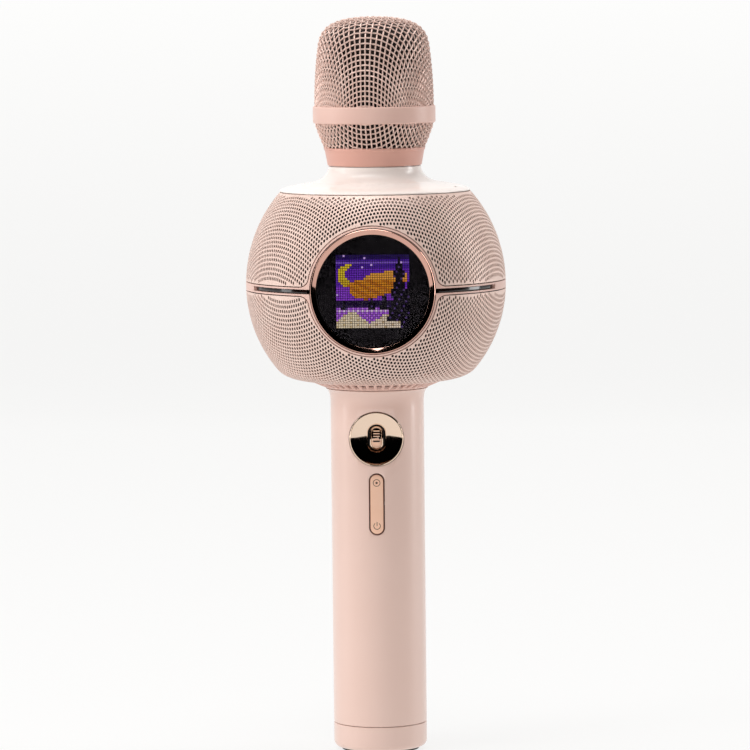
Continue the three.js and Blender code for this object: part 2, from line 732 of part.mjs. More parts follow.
// ---------------------------------------------------------------- display
const displayY = -Math.sqrt(BALL_RADIUS ** 2 - DISPLAY_RADIUS ** 2);
const bezelFrontY = displayY - BEZEL_PROUD;
const lensRadius = DISPLAY_RADIUS - BEZEL_WIDTH;
const pictureSize = Math.SQRT2 * (lensRadius - PICTURE_MARGIN);
const lensFrontY = bezelFrontY + BEZEL_DISH + 0.1;
const lensBackY = lensFrontY + LENS_THICKNESS;
const housingBackY = lensBackY + GAP + HOUSING_DEPTH;

function displayBezel() {
  const outline = [
    [lensRadius + SEAM, bezelFrontY + BEZEL_DISH],
    [DISPLAY_RADIUS - 0.4, bezelFrontY],
    [DISPLAY_RADIUS, bezelFrontY + 0.4],
    [DISPLAY_RADIUS, lensBackY],
    [lensRadius + SEAM, lensBackY],
  ];
  return piece("display_bezel", turnedY(outline, 48), ROSE_MIRROR);
}

function displayLens() {
  return piece("display_lens", cylinderY(lensRadius, lensFrontY, lensBackY, 48), BLACK_GLASS);
}

function ledPanel() {
  const half = pictureSize / 2 + PANEL_MARGIN;
  const board = block([-half, half], [0, PANEL_THICKNESS], [-half, half]);
  const made = piece("led_panel", board, LED_BLACK);
  made.position.y = lensBackY + GAP;
  return made;
}

function displayHousing() {
  const radius = DISPLAY_RADIUS - 0.4;
  const seat = pictureSize / 2 + PANEL_MARGIN + GAP;
  const [front, back] = [lensBackY + GAP, housingBackY];
  const pocket = block([-seat, seat], [front - 1, front + PANEL_THICKNESS + 0.1], [-seat, seat]);
  const cavity = block(
    [-seat + HOUSING_WALL, seat - HOUSING_WALL],
    [front, back - HOUSING_WALL],
    [-seat + HOUSING_WALL, seat - HOUSING_WALL],
  );
  const cableHole = cylinderY(3, front, back + 1, FINE);
  const cup = cylinderY(radius, front, back).subtract(pocket).subtract(cavity).subtract(cableHole);
  return piece("display_housing", cup, BLACK_PLASTIC);
}

// ---------------------------------------------------------------- core frame and loudspeaker
const baffleBackY = BAFFLE_Y + BAFFLE_THICKNESS;
const baffleRadius = BALL_RADIUS - BAFFLE_MARGIN;
const basketHole = DRIVER_RADIUS - 4;
const SPEAKER_SCREW_RADIUS = DRIVER_RADIUS - 2.9;
const postRadius = handleBore - 0.35;
const neckPostRadius = NECK_RADIUS - NECK_WALL - GAP;
const neckPostTop = neckTop - 0.5 - ballZ;

function coreFrame() {
  const ringOuter = BALL_RADIUS - BELT_WALL - GAP;
  const half = CORE_RING_HEIGHT / 2;
  const housingCut = cylinderY(DISPLAY_RADIUS - 0.1, -BALL_RADIUS, -BALL_RADIUS / 3);
  const ring = ringZ(ringOuter - CORE_RING_WIDTH, ringOuter, -half, half).subtract(housingCut);
  const reach = BALL_RADIUS;
  const baffleFoot = 2.3 - BALL_BOTTOM_CUT;
  const baffleTop = BALL_TOP_CUT - 5.2;
  const between = block([-reach, reach], [0, reach], [baffleFoot, baffleTop]);
  const baffle = cylinderY(baffleRadius, BAFFLE_Y, baffleBackY).intersect(between);
  const bridge = block([-ringOuter + 2, ringOuter - 2], [BAFFLE_Y, baffleBackY], [-half, half]);
  const plateZ = corePlateBottom - ballZ;
  const post = cylinderZ(postRadius, plateZ, plateZ + 12).subtract(
    cylinderZ(postRadius - POST_WALL, plateZ + 3, plateZ + 13),
  );
  const topPostFoot = DRIVER_RADIUS + 0.8;
  const topPost = cylinderZ(neckPostRadius, topPostFoot, neckPostTop).subtract(
    cylinderZ(neckPostRadius - POST_WALL, topPostFoot - 1, neckPostTop - 2.5),
  );
  const tab = block(
    [1 - neckPostRadius, neckPostRadius - 1],
    [BAFFLE_Y, baffleBackY],
    [baffleTop - 3, topPostFoot + 2],
  );
  let made = ring
    .add(baffle.intersect(cylinderZ(ringOuter - 1.5, -BALL_RADIUS, BALL_RADIUS)))
    .add(bridge.intersect(cylinderZ(ringOuter, -half, half)))
    .add(post)
    .add(topPost)
    .add(tab)
    .subtract(cylinderY(basketHole, BAFFLE_Y - 1, baffleBackY + 1));
  for (const x of [-CORE_SCREW_X, CORE_SCREW_X]) {
    const wide = SCREW_RADIUS + SCREW_CLEARANCE;
    made = made.subtract(screwHole(x, 0, plateZ - 1, plateZ + 3.5, wide));
  }
  made = made
    .subtract(cylinderZ(4, plateZ - 1, plateZ + 4, FINE))
    .subtract(cylinderZ(4, neckPostTop - 4, neckPostTop + 1, FINE));
  for (const [x, z] of speakerScrewPlaces()) {
    const hole = cylinderY(SCREW_RADIUS + 0.15, BAFFLE_Y - 1, baffleBackY + 1, FINE);
    made = made.subtract(hole.translate(x, 0, z));
  }
  return piece("core_frame", made, BLACK_PLASTIC);
}

function coreScrews() {
  return [
    ["core_screw_left", -CORE_SCREW_X],
    ["core_screw_right", CORE_SCREW_X],
  ].map(([name, x]) => {
    const made = screw(name, CORE_SCREW_LENGTH);
    made.position.set(x, 0, corePlateBottom + 3);
    return made;
  });
}

function speakerScrewPlaces() {
  return [45, 135, 225, 315].map((degrees) => {
    const angle = THREE.MathUtils.degToRad(degrees);
    return [SPEAKER_SCREW_RADIUS * Math.cos(angle), SPEAKER_SCREW_RADIUS * Math.sin(angle)];
  });
}

const flangeBackY = baffleBackY + DRIVER_FLANGE;
const basketFrontY = baffleBackY - DRIVER_DEPTH;
const coneOuter = basketHole - 6;

function speakerBasket() {
  const throat = MAGNET_RADIUS - 4;
  const outline = [
    [basketHole - 2.2, flangeBackY],
    [DRIVER_RADIUS, flangeBackY],
    [DRIVER_RADIUS, baffleBackY],
    [basketHole - 0.6, baffleBackY],
    [MAGNET_RADIUS, basketFrontY],
    [throat - 4, basketFrontY],
    [throat - 4, basketFrontY + 2],
    [MAGNET_RADIUS - 2, basketFrontY + 2],
    [basketHole - 2.2, baffleBackY - 1],
  ];
  let basket = turnedY(outline, 28);
  for (const [x, z] of speakerScrewPlaces()) {
    const hole = cylinderY(SCREW_RADIUS + SCREW_CLEARANCE, baffleBackY - 1, flangeBackY + 1, FINE);
    basket = basket.subtract(hole.translate(x, 0, z));
  }
  return piece("speaker_basket", basket, STEEL);
}

function speakerMagnet() {
  const magnet = cylinderY(MAGNET_RADIUS, basketFrontY - MAGNET_HEIGHT, basketFrontY, 32);
  const pole = cylinderY(6, basketFrontY - 1, basketFrontY + 4, FINE);
  return piece("speaker_magnet", magnet.add(pole), FERRITE);
}

// The paper cone with its voice-coil former; it opens to the back of the ball.
function speakerCone() {
  const front = basketFrontY + 2 + CONE_TRAVEL + 2.5;
  const back = flangeBackY - 1.2;
  const outline = [
    [0, front + 3.0],
    [7.6, front + 3.0],
    [coneOuter, back],
    [coneOuter, back - 0.9],
    [8.4, front],
    [8.4, front - 3.5],
    [7.4, front - 3.5],
    [7.4, front + 1.6],
    [0, front + 1.6],
  ];
  return piece("speaker_cone", turnedY(outline, 28), PAPER);
}

function speakerSurround() {
  const [inner, outer] = [coneOuter + GAP, basketHole - 2.2 - GAP];
  const middle = (inner + outer) / 2;
  const radius = (outer - inner) / 2;
  const base = flangeBackY - 2.0;
  const roll = new THREE.Path();
  roll.moveTo(outer, base);
  roll.absarc(middle, base, radius, 0, Math.PI, false);
  roll.absarc(middle, base, radius - 0.8, Math.PI, 0, true);
  return piece("speaker_surround", turnedY(roll, 24), RUBBER);
}

function speakerScrews() {
  return speakerScrewPlaces().map(([x, z], i) => {
    const made = screw("speaker_screw_" + (i + 1), 5.5);
    made.rotation.x = -Math.PI / 2; // the head points to the back
    made.position.set(x, flangeBackY, z);
    return made;
  });
}

// ---------------------------------------------------------------- vent ring
function ventRing() {
  const drop = -BALL_BOTTOM_CUT;
  const outline = [
    [ventInner - 2.6, drop - VENT_RISE],
    [ventInner, drop - VENT_RISE],
    [ventOuter, drop],
    [ventOuter, drop + 1.6],
    [ventOuter - 1.4, drop + 1.6],
    [ventInner - 2.6, drop - VENT_RISE + VENT_WALL + 0.8],
  ];
  let ring = turnedZ(outline, VENT_RIBS);
  const step = (2 * Math.PI) / VENT_RIBS;
  const windowWidth = ventInner * step * 0.52;
  const [from, to] = [ventInner + 1.2, ventOuter - 1.2];
  for (let i = 0; i < VENT_RIBS; i += 1) {
    const cut = block([from, to], [-windowWidth / 2, windowWidth / 2], [drop - 9, drop + 9]);
    ring = ring.subtract(cut.rotate([0, 0, THREE.MathUtils.radToDeg((i + 0.5) * step)]));
  }
  return piece("vent_ring", ring, PINK_SATIN);
}

// ---------------------------------------------------------------- neck, with its screw spigot
function neckShell() {
  const brim = ballRadiusAt(BALL_TOP_CUT, 0);
  const skirt = brim - 1.9;
  const foot = neckTop - NECK_HEIGHT;
  const spigot = NECK_RADIUS - 1.3;
  const outline = new THREE.Path();
  outline.moveTo(brim + 0.1, foot);
  outline.lineTo(brim - 0.1, foot + 0.45);
  outline.lineTo(brim - 3.5, foot + NECK_SHOULDER - 1.6);
  outline.lineTo(NECK_RADIUS + 5.9, foot + NECK_SHOULDER);
  outline.quadraticCurveTo(NECK_RADIUS + 0.4, foot + NECK_SHOULDER + 1.8, NECK_RADIUS, neckTop);
  outline.lineTo(spigot, neckTop);
  outline.lineTo(spigot, neckTop + SPIGOT_HEIGHT);
  outline.lineTo(spigot - NECK_WALL, neckTop + SPIGOT_HEIGHT);
  outline.lineTo(spigot - NECK_WALL, neckTop - 0.2);
  outline.lineTo(NECK_RADIUS - NECK_WALL, neckTop - 0.2);
  outline.lineTo(NECK_RADIUS - NECK_WALL, foot + NECK_SHOULDER + 0.6);
  outline.lineTo(NECK_RADIUS + 4.2, foot + NECK_SHOULDER - 1.9);
  outline.lineTo(skirt - 2.4, foot + 0.1);
  outline.lineTo(skirt - 1.8, foot - 1);
  outline.lineTo(skirt - 1.8, foot - 4.5);
  outline.lineTo(skirt, foot - 4.5);
  outline.lineTo(skirt, foot);
  const pinhole = cylinderZ(PINHOLE_RADIUS, foot - 2, foot + 9, 12).translate(
    (brim - 3.55) * Math.cos(THREE.MathUtils.degToRad(-20.7)),
    (brim - 3.55) * Math.sin(THREE.MathUtils.degToRad(-20.7)),
    0,
  );
  const shell = turnedZ(outline).translate(0, 0, -ballZ);
  return piece("neck_shell", shell.subtract(pinhole.translate(0, 0, -ballZ)), PINK_PEARL);
}

function capsuleMount() {
  const foot = neckPostTop;
  const cup = foot + CAPSULE_STEM;
  const radius = CAPSULE_RADIUS + GAP;
  const base = Math.min(neckPostRadius, NECK_RADIUS - 1.3 - NECK_WALL) - 0.4;
  const outline = [
    [3, foot],
    [base, foot],
    [base, foot + 2],
    [6, foot + 3.5],
    [6, cup - 4],
    [radius + 1.6, cup],
    [radius + 1.6, cup + 5],
    [radius, cup + 5],
    [radius, cup + 0.6],
    [3, cup + 0.6],
  ];
  return piece("capsule_mount", turnedZ(outline, 32), RUBBER);
}

function micCapsule() {
  const bottom = neckPostTop + CAPSULE_STEM + 0.6;
  const can = cylinderZ(CAPSULE_RADIUS, bottom, bottom + CAPSULE_HEIGHT, 32);
  const well = cylinderZ(CAPSULE_RADIUS - 1.6, bottom + CAPSULE_HEIGHT - 0.8, bottom + 40, 32);
  return piece("mic_capsule", can.subtract(well), CAPSULE_METAL);
}

// ---------------------------------------------------------------- head, from its joint upwards
const collarTopRadius = NECK_RADIUS + 0.2 + COLLAR_SPREAD;

function headCollar() {
  const bore = NECK_RADIUS - 1.3 + GAP;
  const outline = [
    [bore, 0],
    [NECK_RADIUS + 0.2, 0],
    [collarTopRadius, COLLAR_HEIGHT],
    [bore, COLLAR_HEIGHT],
  ];
  return piece("head_collar", turnedZ(outline), PINK_SATIN);
}

// The side line of the lower basket at an inward offset.
function basketLine(offset) {
  return new THREE.QuadraticBezierCurve(
    new THREE.Vector2(collarTopRadius + 0.1 - offset, 0),
    new THREE.Vector2((collarTopRadius + MESH_RADIUS) / 2 + 0.8 - offset, BASKET_HEIGHT * 0.6),
    new THREE.Vector2(MESH_RADIUS - offset, BASKET_HEIGHT),
  ).getPoints(3);
}

function grilleBasket() {
  const corners = (offset) => basketLine(offset).map((p) => [p.x, p.y]);
  const shell = turnedZ([...corners(0), ...corners(MESH_WALL).reverse()]);
  const made = piece("grille_basket", shell, PINK_MESH);
  made.position.z = COLLAR_HEIGHT;
  return made;
}

function grilleBand() {
  const edge = 0.6;
  const outline = [
    [BAND_RADIUS - BAND_WALL, 0],
    [BAND_RADIUS - edge, 0],
    [BAND_RADIUS, edge],
    [BAND_RADIUS, BAND_HEIGHT - edge],
    [BAND_RADIUS - edge, BAND_HEIGHT],
    [BAND_RADIUS - BAND_WALL, BAND_HEIGHT],
  ];
  const made = piece("grille_band", turnedZ(outline), PINK_SATIN);
  made.position.z = COLLAR_HEIGHT + BASKET_HEIGHT;
  return made;
}

// Corner points of the dome from its rim to its top, at an inward offset.
function domeLine(offset, sideSteps, crownSteps) {
  const shoulder = MESH_RADIUS - DOME_TAPER;
  const at = (x, y) => new THREE.Vector2(Math.max(x - offset, 0), y);
  const side = new THREE.QuadraticBezierCurve(
    at(MESH_RADIUS, 0),
    at(MESH_RADIUS, DOME_SHOULDER * 0.5),
    at(shoulder, DOME_SHOULDER),
  );
  const crown = new THREE.CubicBezierCurve(
    at(shoulder, DOME_SHOULDER),
    at(shoulder - 0.6, DOME_HEIGHT - 3.9),
    new THREE.Vector2((shoulder - offset) * 0.82, DOME_HEIGHT - offset),
    new THREE.Vector2(0, DOME_HEIGHT - offset),
  );
  return [...side.getPoints(sideSteps), ...crown.getPoints(crownSteps).slice(1)];
}

function shellOfDome(outerOffset, innerOffset, sideSteps, crownSteps) {
  const corners = (offset) => domeLine(offset, sideSteps, crownSteps).map((p) => [p.x, p.y]);
  return turnedZ([...corners(outerOffset), ...corners(innerOffset).reverse()], 32);
}

function grilleDome() {
  const made = piece("grille_dome", shellOfDome(0, MESH_WALL, 2, 6), PINK_MESH);
  made.position.z = COLLAR_HEIGHT + BASKET_HEIGHT + BAND_HEIGHT;
  return made;
}

// The foam cup behind the mesh, held inside the band.
function windscreenFoam() {
  const outer = MESH_WALL + 0.6;
  const cup = shellOfDome(outer, outer + FOAM_WALL, 1, 4);
  const skirtOuter = BAND_RADIUS - BAND_WALL - GAP;
  const skirt = ringZ(skirtOuter - FOAM_WALL + 0.6, skirtOuter, -BAND_HEIGHT, 0.5, 32);
  const made = piece("windscreen_foam", cup.add(skirt), FOAM);
  made.position.z = COLLAR_HEIGHT + BASKET_HEIGHT + BAND_HEIGHT;
  return made;
}

// ---------------------------------------------------------------- assembly
const handle = new THREE.Group();
handle.add(baseFoot(), baseCap(), ...capScrews(), handleTube(), chassis(), battery());
handle.add(chargeBoard(), usbSocket(), mainBoard(), buttonBoard());
handle.add(
  tactSwitch("tact_switch_upper", ROCKER_Z + ROCKER_POST_SPACING / 2),
  tactSwitch("tact_switch_lower", ROCKER_Z - ROCKER_POST_SPACING / 2),
);
handle.add(rockerBracket(), rockerPin(), rockerBar(), switchDish(), toggleKey(), toggleSwitch());
handle.add(...coreScrews());

const ball = new THREE.Group();
ball.position.z = ballZ;
ball.add(coreFrame(), ventRing(), lowerGrille(), upperGrille());
ball.add(innerShell("lower_inner_shell", -1, BALL_BOTTOM_CUT - BALL_BOTTOM_TURN - 0.5));
ball.add(innerShell("upper_inner_shell", 1, BALL_TOP_CUT - 5.3));
ball.add(beltTrim(), lightBar("light_bar_left", -1), lightBar("light_bar_right", 1));
ball.add(displayBezel(), displayLens(), ledPanel(), displayHousing());
ball.add(speakerBasket(), speakerMagnet(), speakerCone(), speakerSurround(), ...speakerScrews());
ball.add(neckShell(), capsuleMount(), micCapsule());

const head = new THREE.Group();
head.position.z = headBottom;
head.add(headCollar(), grilleBasket(), grilleBand(), grilleDome(), windscreenFoam());

const microphone = new THREE.Group();
microphone.add(handle, ball, head);

export default microphone;
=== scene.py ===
# %% [markdown]
# # A karaoke microphone, finished in Blender
#
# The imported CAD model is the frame: it fixes where every piece is and how it moves. This lesson
# puts the finished surfaces round it: a woven wire head, a ball of punched steel, a picture made
# of light cells, mirror-plated trim and a lacquered grip. Each step says what the piece is on the
# real microphone, how it could be made, and why it is made this way.

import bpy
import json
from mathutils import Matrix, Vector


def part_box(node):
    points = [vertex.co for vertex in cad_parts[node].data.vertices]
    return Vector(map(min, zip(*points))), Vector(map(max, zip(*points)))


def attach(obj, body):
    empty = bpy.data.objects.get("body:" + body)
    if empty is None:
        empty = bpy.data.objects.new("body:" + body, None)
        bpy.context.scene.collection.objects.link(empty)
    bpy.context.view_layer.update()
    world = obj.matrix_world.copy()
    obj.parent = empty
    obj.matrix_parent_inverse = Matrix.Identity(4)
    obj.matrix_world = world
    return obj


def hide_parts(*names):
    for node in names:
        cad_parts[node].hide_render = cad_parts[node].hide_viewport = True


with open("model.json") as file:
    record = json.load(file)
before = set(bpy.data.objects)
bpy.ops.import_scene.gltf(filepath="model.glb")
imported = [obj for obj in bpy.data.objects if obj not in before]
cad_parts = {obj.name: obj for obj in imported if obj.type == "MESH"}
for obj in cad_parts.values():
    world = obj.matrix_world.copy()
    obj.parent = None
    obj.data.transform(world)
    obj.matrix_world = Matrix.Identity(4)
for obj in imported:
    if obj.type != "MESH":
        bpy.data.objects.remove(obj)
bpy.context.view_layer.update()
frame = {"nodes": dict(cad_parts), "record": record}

# %% Modules
import json
import math

import bmesh
import bpy
import numpy as np
from mathutils import Matrix, Vector, noise

# %% [markdown]
# ## Measures
#
# Blender works in metres and the maker's drawing in millimetres, so one constant turns one into
# the other. The places come from the boxes of the CAD nodes: a radius is half a box's width and a
# seam is the top or the bottom of one. Only what the CAD doesn't hold, such as the pitch of the
# holes or the thickness of a wire, is a new number here.

# %% Sizes from the frame
MM = 0.001


def low(node):
    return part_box(node)[0]


def high(node):
    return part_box(node)[1]


def half_width(node):
    return (high(node).x - low(node).x) / 2


grip_radius = half_width("base_cap")
grip_bottom = low("handle_tube").z
grip_top = high("handle_tube").z
flare_radius = half_width("handle_tube")
cap_bottom = low("base_cap").z

belt_z = (low("belt_trim").z + high("belt_trim").z) / 2
ball_radius = half_width("belt_trim")
ball_top = high("upper_grille").z - belt_z
ball_bottom = belt_z - low("lower_grille").z

ring_radius = half_width("display_bezel")
ring_front = low("display_bezel").y
lens_radius = half_width("display_lens")
lens_front = low("display_lens").y
lens_back = high("display_lens").y

neck_bottom = high("upper_grille").z + 0.3 * MM
collar_bottom = low("head_collar").z
collar_top = high("head_collar").z
band_bottom = low("grille_band").z
band_top = high("grille_band").z
band_radius = half_width("grille_band")
dome_top = high("grille_dome").z
collar_radius = half_width("head_collar")
print(f"grip {grip_radius / MM:.2f} mm, ball {ball_radius / MM:.1f} mm, belt at {belt_z / MM:.1f} mm")

# %% [markdown]
# ## Camera, floor and light
#
# A product picture: a long lens a little above the middle of the microphone, a white sweep that
# runs under it and curves up behind, and a dark room behind the camera. The sweep is lit from
# inside like a light table, so it stays white while the microphone keeps its darker tones. The
# dark room isn't seen, but the mirror-plated pieces show it, and that is what draws a sharp line
# across the concave switch dish. A curved black card that the lens can't see stands for the room.

# %% Camera
CAMERA_DISTANCE = 1.87
CAMERA_HEIGHT_ANGLE = math.radians(5.0)
CAMERA_SIDE_ANGLE = math.radians(1.7)
CAMERA_ROLL = math.radians(-0.6)
FIELD_OF_VIEW = math.radians(9.2)
AIM = Vector((-0.76 * MM, 0, 151 * MM))


def put_in_scene(name, data):
    placed = bpy.data.objects.new(name, data)
    bpy.context.scene.collection.objects.link(placed)
    return placed


def make_camera():
    data = bpy.data.cameras.new("camera")
    data.angle = FIELD_OF_VIEW
    data.clip_end = 20
    camera = put_in_scene("camera", data)
    level = math.cos(CAMERA_HEIGHT_ANGLE) * CAMERA_DISTANCE
    offset = Vector((
        math.sin(CAMERA_SIDE_ANGLE) * level,
        -math.cos(CAMERA_SIDE_ANGLE) * level,
        math.sin(CAMERA_HEIGHT_ANGLE) * CAMERA_DISTANCE,
    ))
    turn = (-offset).to_track_quat("-Z", "Y").to_matrix() @ Matrix.Rotation(CAMERA_ROLL, 3, "Z")
    camera.matrix_world = Matrix.Translation(AIM + offset) @ turn.to_4x4()
    bpy.context.scene.camera = camera
    return camera


camera = make_camera()
print("camera", [round(v, 3) for v in camera.location])

# %% [markdown]
# Colours are written as sRGB hex values, as a paint shop would, and Blender's shaders want linear
# light, so one function turns them. Another small function adds a node with its settings and its
# links, and every material and every geometry tree below is built with it.

# %% Colour and node helpers


def linear(code):
    parts = [int(code[i : i + 2], 16) / 255 for i in (1, 3, 5)]
    bent = [c / 12.92 if c <= 0.04045 else ((c + 0.055) / 1.055) ** 2.4 for c in parts]
    return (*bent, 1.0)


def new_material(name):
    material = bpy.data.materials.new(name)
    material.use_nodes = True
    tree = material.node_tree
    return material, tree, tree.nodes["Principled BSDF"]


def add(tree, kind, settings=None, **inputs):
    """Adds a node; inputs go by socket name with _ for a space, or in0, in1 by place."""
    node = tree.nodes.new(kind)
    for name, value in (settings or {}).items():
        setattr(node, name, value)
    for name, value in inputs.items():
        place = name[2:]
        if name.startswith("in") and place.isdigit():
            socket = node.inputs[int(place)]
        else:
            socket = node.inputs[name.replace("_", " ")]
        if isinstance(value, bpy.types.NodeSocket):
            tree.links.new(value, socket)
        else:
            socket.default_value = value
    return node


# %% Sweep, room card and lights
SWEEP_FRONT = 0.93  # how far the sweep runs towards the camera
SWEEP_FRONT_SIDE = 0.55  # half its width at that end
SWEEP_SIDE = 2.2
SWEEP_BACK = 1.3  # where it starts to curve up
SWEEP_BEND = 0.9
SWEEP_TOP = 2.6
SWEEP_GLOW = (0.77, 0.96)  # at the floor and up the wall


def plain_material(name, colour, roughness, gloss=0.2):
    material, _, shader = new_material(name)
    shader.inputs["Base Color"].default_value = linear(colour)
    shader.inputs["Roughness"].default_value = roughness
    shader.inputs["Specular IOR Level"].default_value = gloss
    return material


def mesh_object(name, vertices, faces, material=None):
    mesh = bpy.data.meshes.new(name)
    mesh.from_pydata([tuple(v) for v in vertices], [], faces)
    mesh.validate()
    mesh.update()
    made = put_in_scene(name, mesh)
    if material:
        mesh.materials.append(material)
    return made


def make_sweep():
    bend = [math.radians(90 * i / 16) for i in range(17)]
    line = [(-SWEEP_FRONT, 0), (-0.1, 0)]
    line += [(SWEEP_BACK + SWEEP_BEND * math.sin(a), SWEEP_BEND * (1 - math.cos(a))) for a in bend]
    line.append((SWEEP_BACK + SWEEP_BEND, SWEEP_TOP))
    vertices = [(x, y, z) for y, z in line for x in (-SWEEP_SIDE, SWEEP_SIDE)]
    vertices[:2] = [(-SWEEP_FRONT_SIDE, -SWEEP_FRONT, 0), (SWEEP_FRONT_SIDE, -SWEEP_FRONT, 0)]
    faces = [(2 * i, 2 * i + 1, 2 * i + 3, 2 * i + 2) for i in range(len(line) - 1)]
    white = plain_material("lit_white_sweep", "#636262", 0.6)
    tree = white.node_tree
    shader = tree.nodes["Principled BSDF"]
    shader.inputs["Emission Color"].default_value = linear("#FFFFFE")
    place = add(tree, "ShaderNodeTexCoord").outputs["Object"]
    height = add(tree, "ShaderNodeSeparateXYZ", Vector=place).outputs["Z"]
    glow = add(
        tree, "ShaderNodeMapRange", Value=height, From_Max=SWEEP_BEND / 2,
        To_Min=SWEEP_GLOW[0], To_Max=SWEEP_GLOW[1],
    )
    tree.links.new(glow.outputs["Result"], shader.inputs["Emission Strength"])
    sweep = mesh_object("white_sweep", vertices, faces, white)
    sweep.data.shade_smooth()


def make_room_card():
    radius, foot, head, steps = 2.5, -1.5, 5.0, 24
    ring = [math.radians(180 + 180 * i / steps) for i in range(steps + 1)]
    vertices = [(radius * math.cos(a), radius * math.sin(a), z) for a in ring for z in (foot, head)]
    faces = [(2 * i, 2 * i + 1, 2 * i + 3, 2 * i + 2) for i in range(steps)]
    card = mesh_object("room_card", vertices, faces, plain_material("black_card", "#020202", 0.9, 0.0))
    card.visible_camera = False
    card.visible_shadow = False


def make_light(name, place, aim, size, power, glossy=True):
    data = bpy.data.lights.new(name, "AREA")
    data.shape = "RECTANGLE"
    data.size, data.size_y = size
    data.energy = power
    lamp = put_in_scene(name, data)
    lamp.location = place
    lamp.visible_glossy = glossy
    lamp.rotation_euler = (Vector(aim) - Vector(place)).to_track_quat("-Z", "Y").to_euler()
    return lamp


def make_world():
    world = bpy.data.worlds.new("studio")
    world.use_nodes = True
    background = world.node_tree.nodes["Background"]
    background.inputs["Color"].default_value = linear("#FDFDFD")
    background.inputs["Strength"].default_value = 0.45
    bpy.context.scene.world = world
    bpy.context.scene.view_settings.view_transform = "Standard"


make_sweep()
make_room_card()
make_world()
middle = (0, 0, 0.17)
make_light("key_left", (-1.25, -0.75, 0.75), middle, (0.7, 1.3), 12, glossy=False)
make_light("edge_left", (-1.3, -0.1, 0.5), middle, (0.3, 1.2), 3)
make_light("top", (-0.15, -0.15, 1.5), middle, (1.0, 1.0), 12)
make_light("rim_right", (1.3, 0.25, 0.5), middle, (0.35, 1.2), 6)
make_light("front_fill", (0.2, -1.7, 0.45), middle, (1.2, 0.8), 6.5, glossy=False)

# %% [markdown]
# ## Finishes
#
# A real surface is never one flat colour. Lacquer drifts a little in tone and its gloss changes
# with the spray; punched steel shows the tool; foam is full of pores. One function makes that
# family: a slow noise moves the colour between two shades and the roughness by a little, and a
# fine noise gives the relief. Its sizes are in millimetres on the piece, through Object
# coordinates, so nothing slides when a body moves.

# %% One function for a drifting, slightly uneven surface
FINISHES = {}


def surface(name, light, dark, drift, roughness, uneven=0.03, relief=(0.5, 0.0), **sockets):
    """light and dark shades, drift and relief size in mm, and plain shader values by name."""
    material, tree, shader = new_material(name)
    place = add(tree, "ShaderNodeTexCoord").outputs["Object"]
    cloud = add(tree, "ShaderNodeTexNoise", Vector=place, Scale=1 / (drift * MM), Detail=3.0)
    shade = add(
        tree, "ShaderNodeMix", {"data_type": "RGBA"},
        in0=cloud.outputs["Fac"], in6=linear(dark), in7=linear(light),
    )
    gloss = add(
        tree, "ShaderNodeMapRange", Value=cloud.outputs["Fac"],
        To_Min=roughness - uneven, To_Max=roughness + uneven,
    )
    tree.links.new(shade.outputs[2], shader.inputs["Base Color"])
    tree.links.new(gloss.outputs["Result"], shader.inputs["Roughness"])
    size, height = relief
    if height:
        grit = add(tree, "ShaderNodeTexNoise", Vector=place, Scale=1 / (size * MM), Detail=2.0)
        bump = add(tree, "ShaderNodeBump", Height=grit.outputs["Fac"], Distance=height * MM)
        tree.links.new(bump.outputs["Normal"], shader.inputs["Normal"])
    for label, value in sockets.items():
        shader.inputs[label.replace("_", " ")].default_value = value
    return material


# %% [markdown]
# The casings are ABS under a sprayed lacquer: a soft pink with a clear coat, so the highlights are
# sharp on top of a gentle body colour. The neck carries a paler pearl lacquer. The belt, band and
# collar are satin paint, and the punched ball and the woven head are painted steel, which is
# rougher because the paint is thin. The collar has a deeper pink than the band and the belt.

# %% Pink lacquers and paints
CLEAR_COAT = {"Coat_Weight": 0.6, "Coat_Roughness": 0.08}
FINISHES["casing_pink"] = surface(
    "abs_pink_lacquer", "#E9C9BC", "#E4C2B4", 22, 0.34, relief=(3.0, 0.006), **CLEAR_COAT
)
FINISHES["casing_pearl"] = surface(
    "abs_pearl_lacquer", "#FCF1EA", "#F8EAE2", 18, 0.3, relief=(3.0, 0.006), **CLEAR_COAT
)
FINISHES["trim_pink"] = surface(
    "satin_pink_paint", "#E7C2B5", "#DFB6A8", 12, 0.36, relief=(0.35, 0.004)
)
deep_pink_paint = surface(
    "deep_satin_pink_paint", "#DFAB9B", "#D69F8F", 12, 0.34, relief=(0.35, 0.004)
)
FINISHES["grille_pink"] = surface(
    "painted_punched_steel", "#F0D6CA", "#E8C6B8", 9, 0.42, relief=(0.3, 0.006), Metallic=0.15
)
FINISHES["mesh_pink"] = surface(
    "painted_woven_steel", "#F3D6CA", "#E6C2B4", 5, 0.38, relief=(0.2, 0.006), Metallic=0.2
)

# %% [markdown]
# The dish, the key and the display surround are plated plastic, polished before plating, so they
# are nearly perfect mirrors, the surround in a pinker gold. The rocker's face is a satin plate that
# scatters most of the light, so it hardly mirrors the room.

# %% Rose-gold plating
FINISHES["rose_mirror"] = surface(
    "rose_gold_mirror_plate", "#F2DAC5", "#ECD0B9", 14, 0.05, 0.02, Metallic=1.0
)
pink_mirror = surface(
    "pink_mirror_plate", "#DCAE9E", "#D5A393", 14, 0.07, 0.02, Metallic=1.0
)
FINISHES["rose_gold"] = surface(
    "rose_gold_satin_plate", "#FBD0B6", "#F5C2A4", 6, 0.33, 0.05, relief=(0.25, 0.004), Metallic=0.2
)

# %% [markdown]
# The window is clear acrylic with a faint smoke tint. Its front has an anti-reflection coat, which
# a low IOR stands for, so the black round the picture stays black. The light bars are deep smoked
# acrylic. Behind them everything is dark: moulded plastic, foam, and the light panel's board.

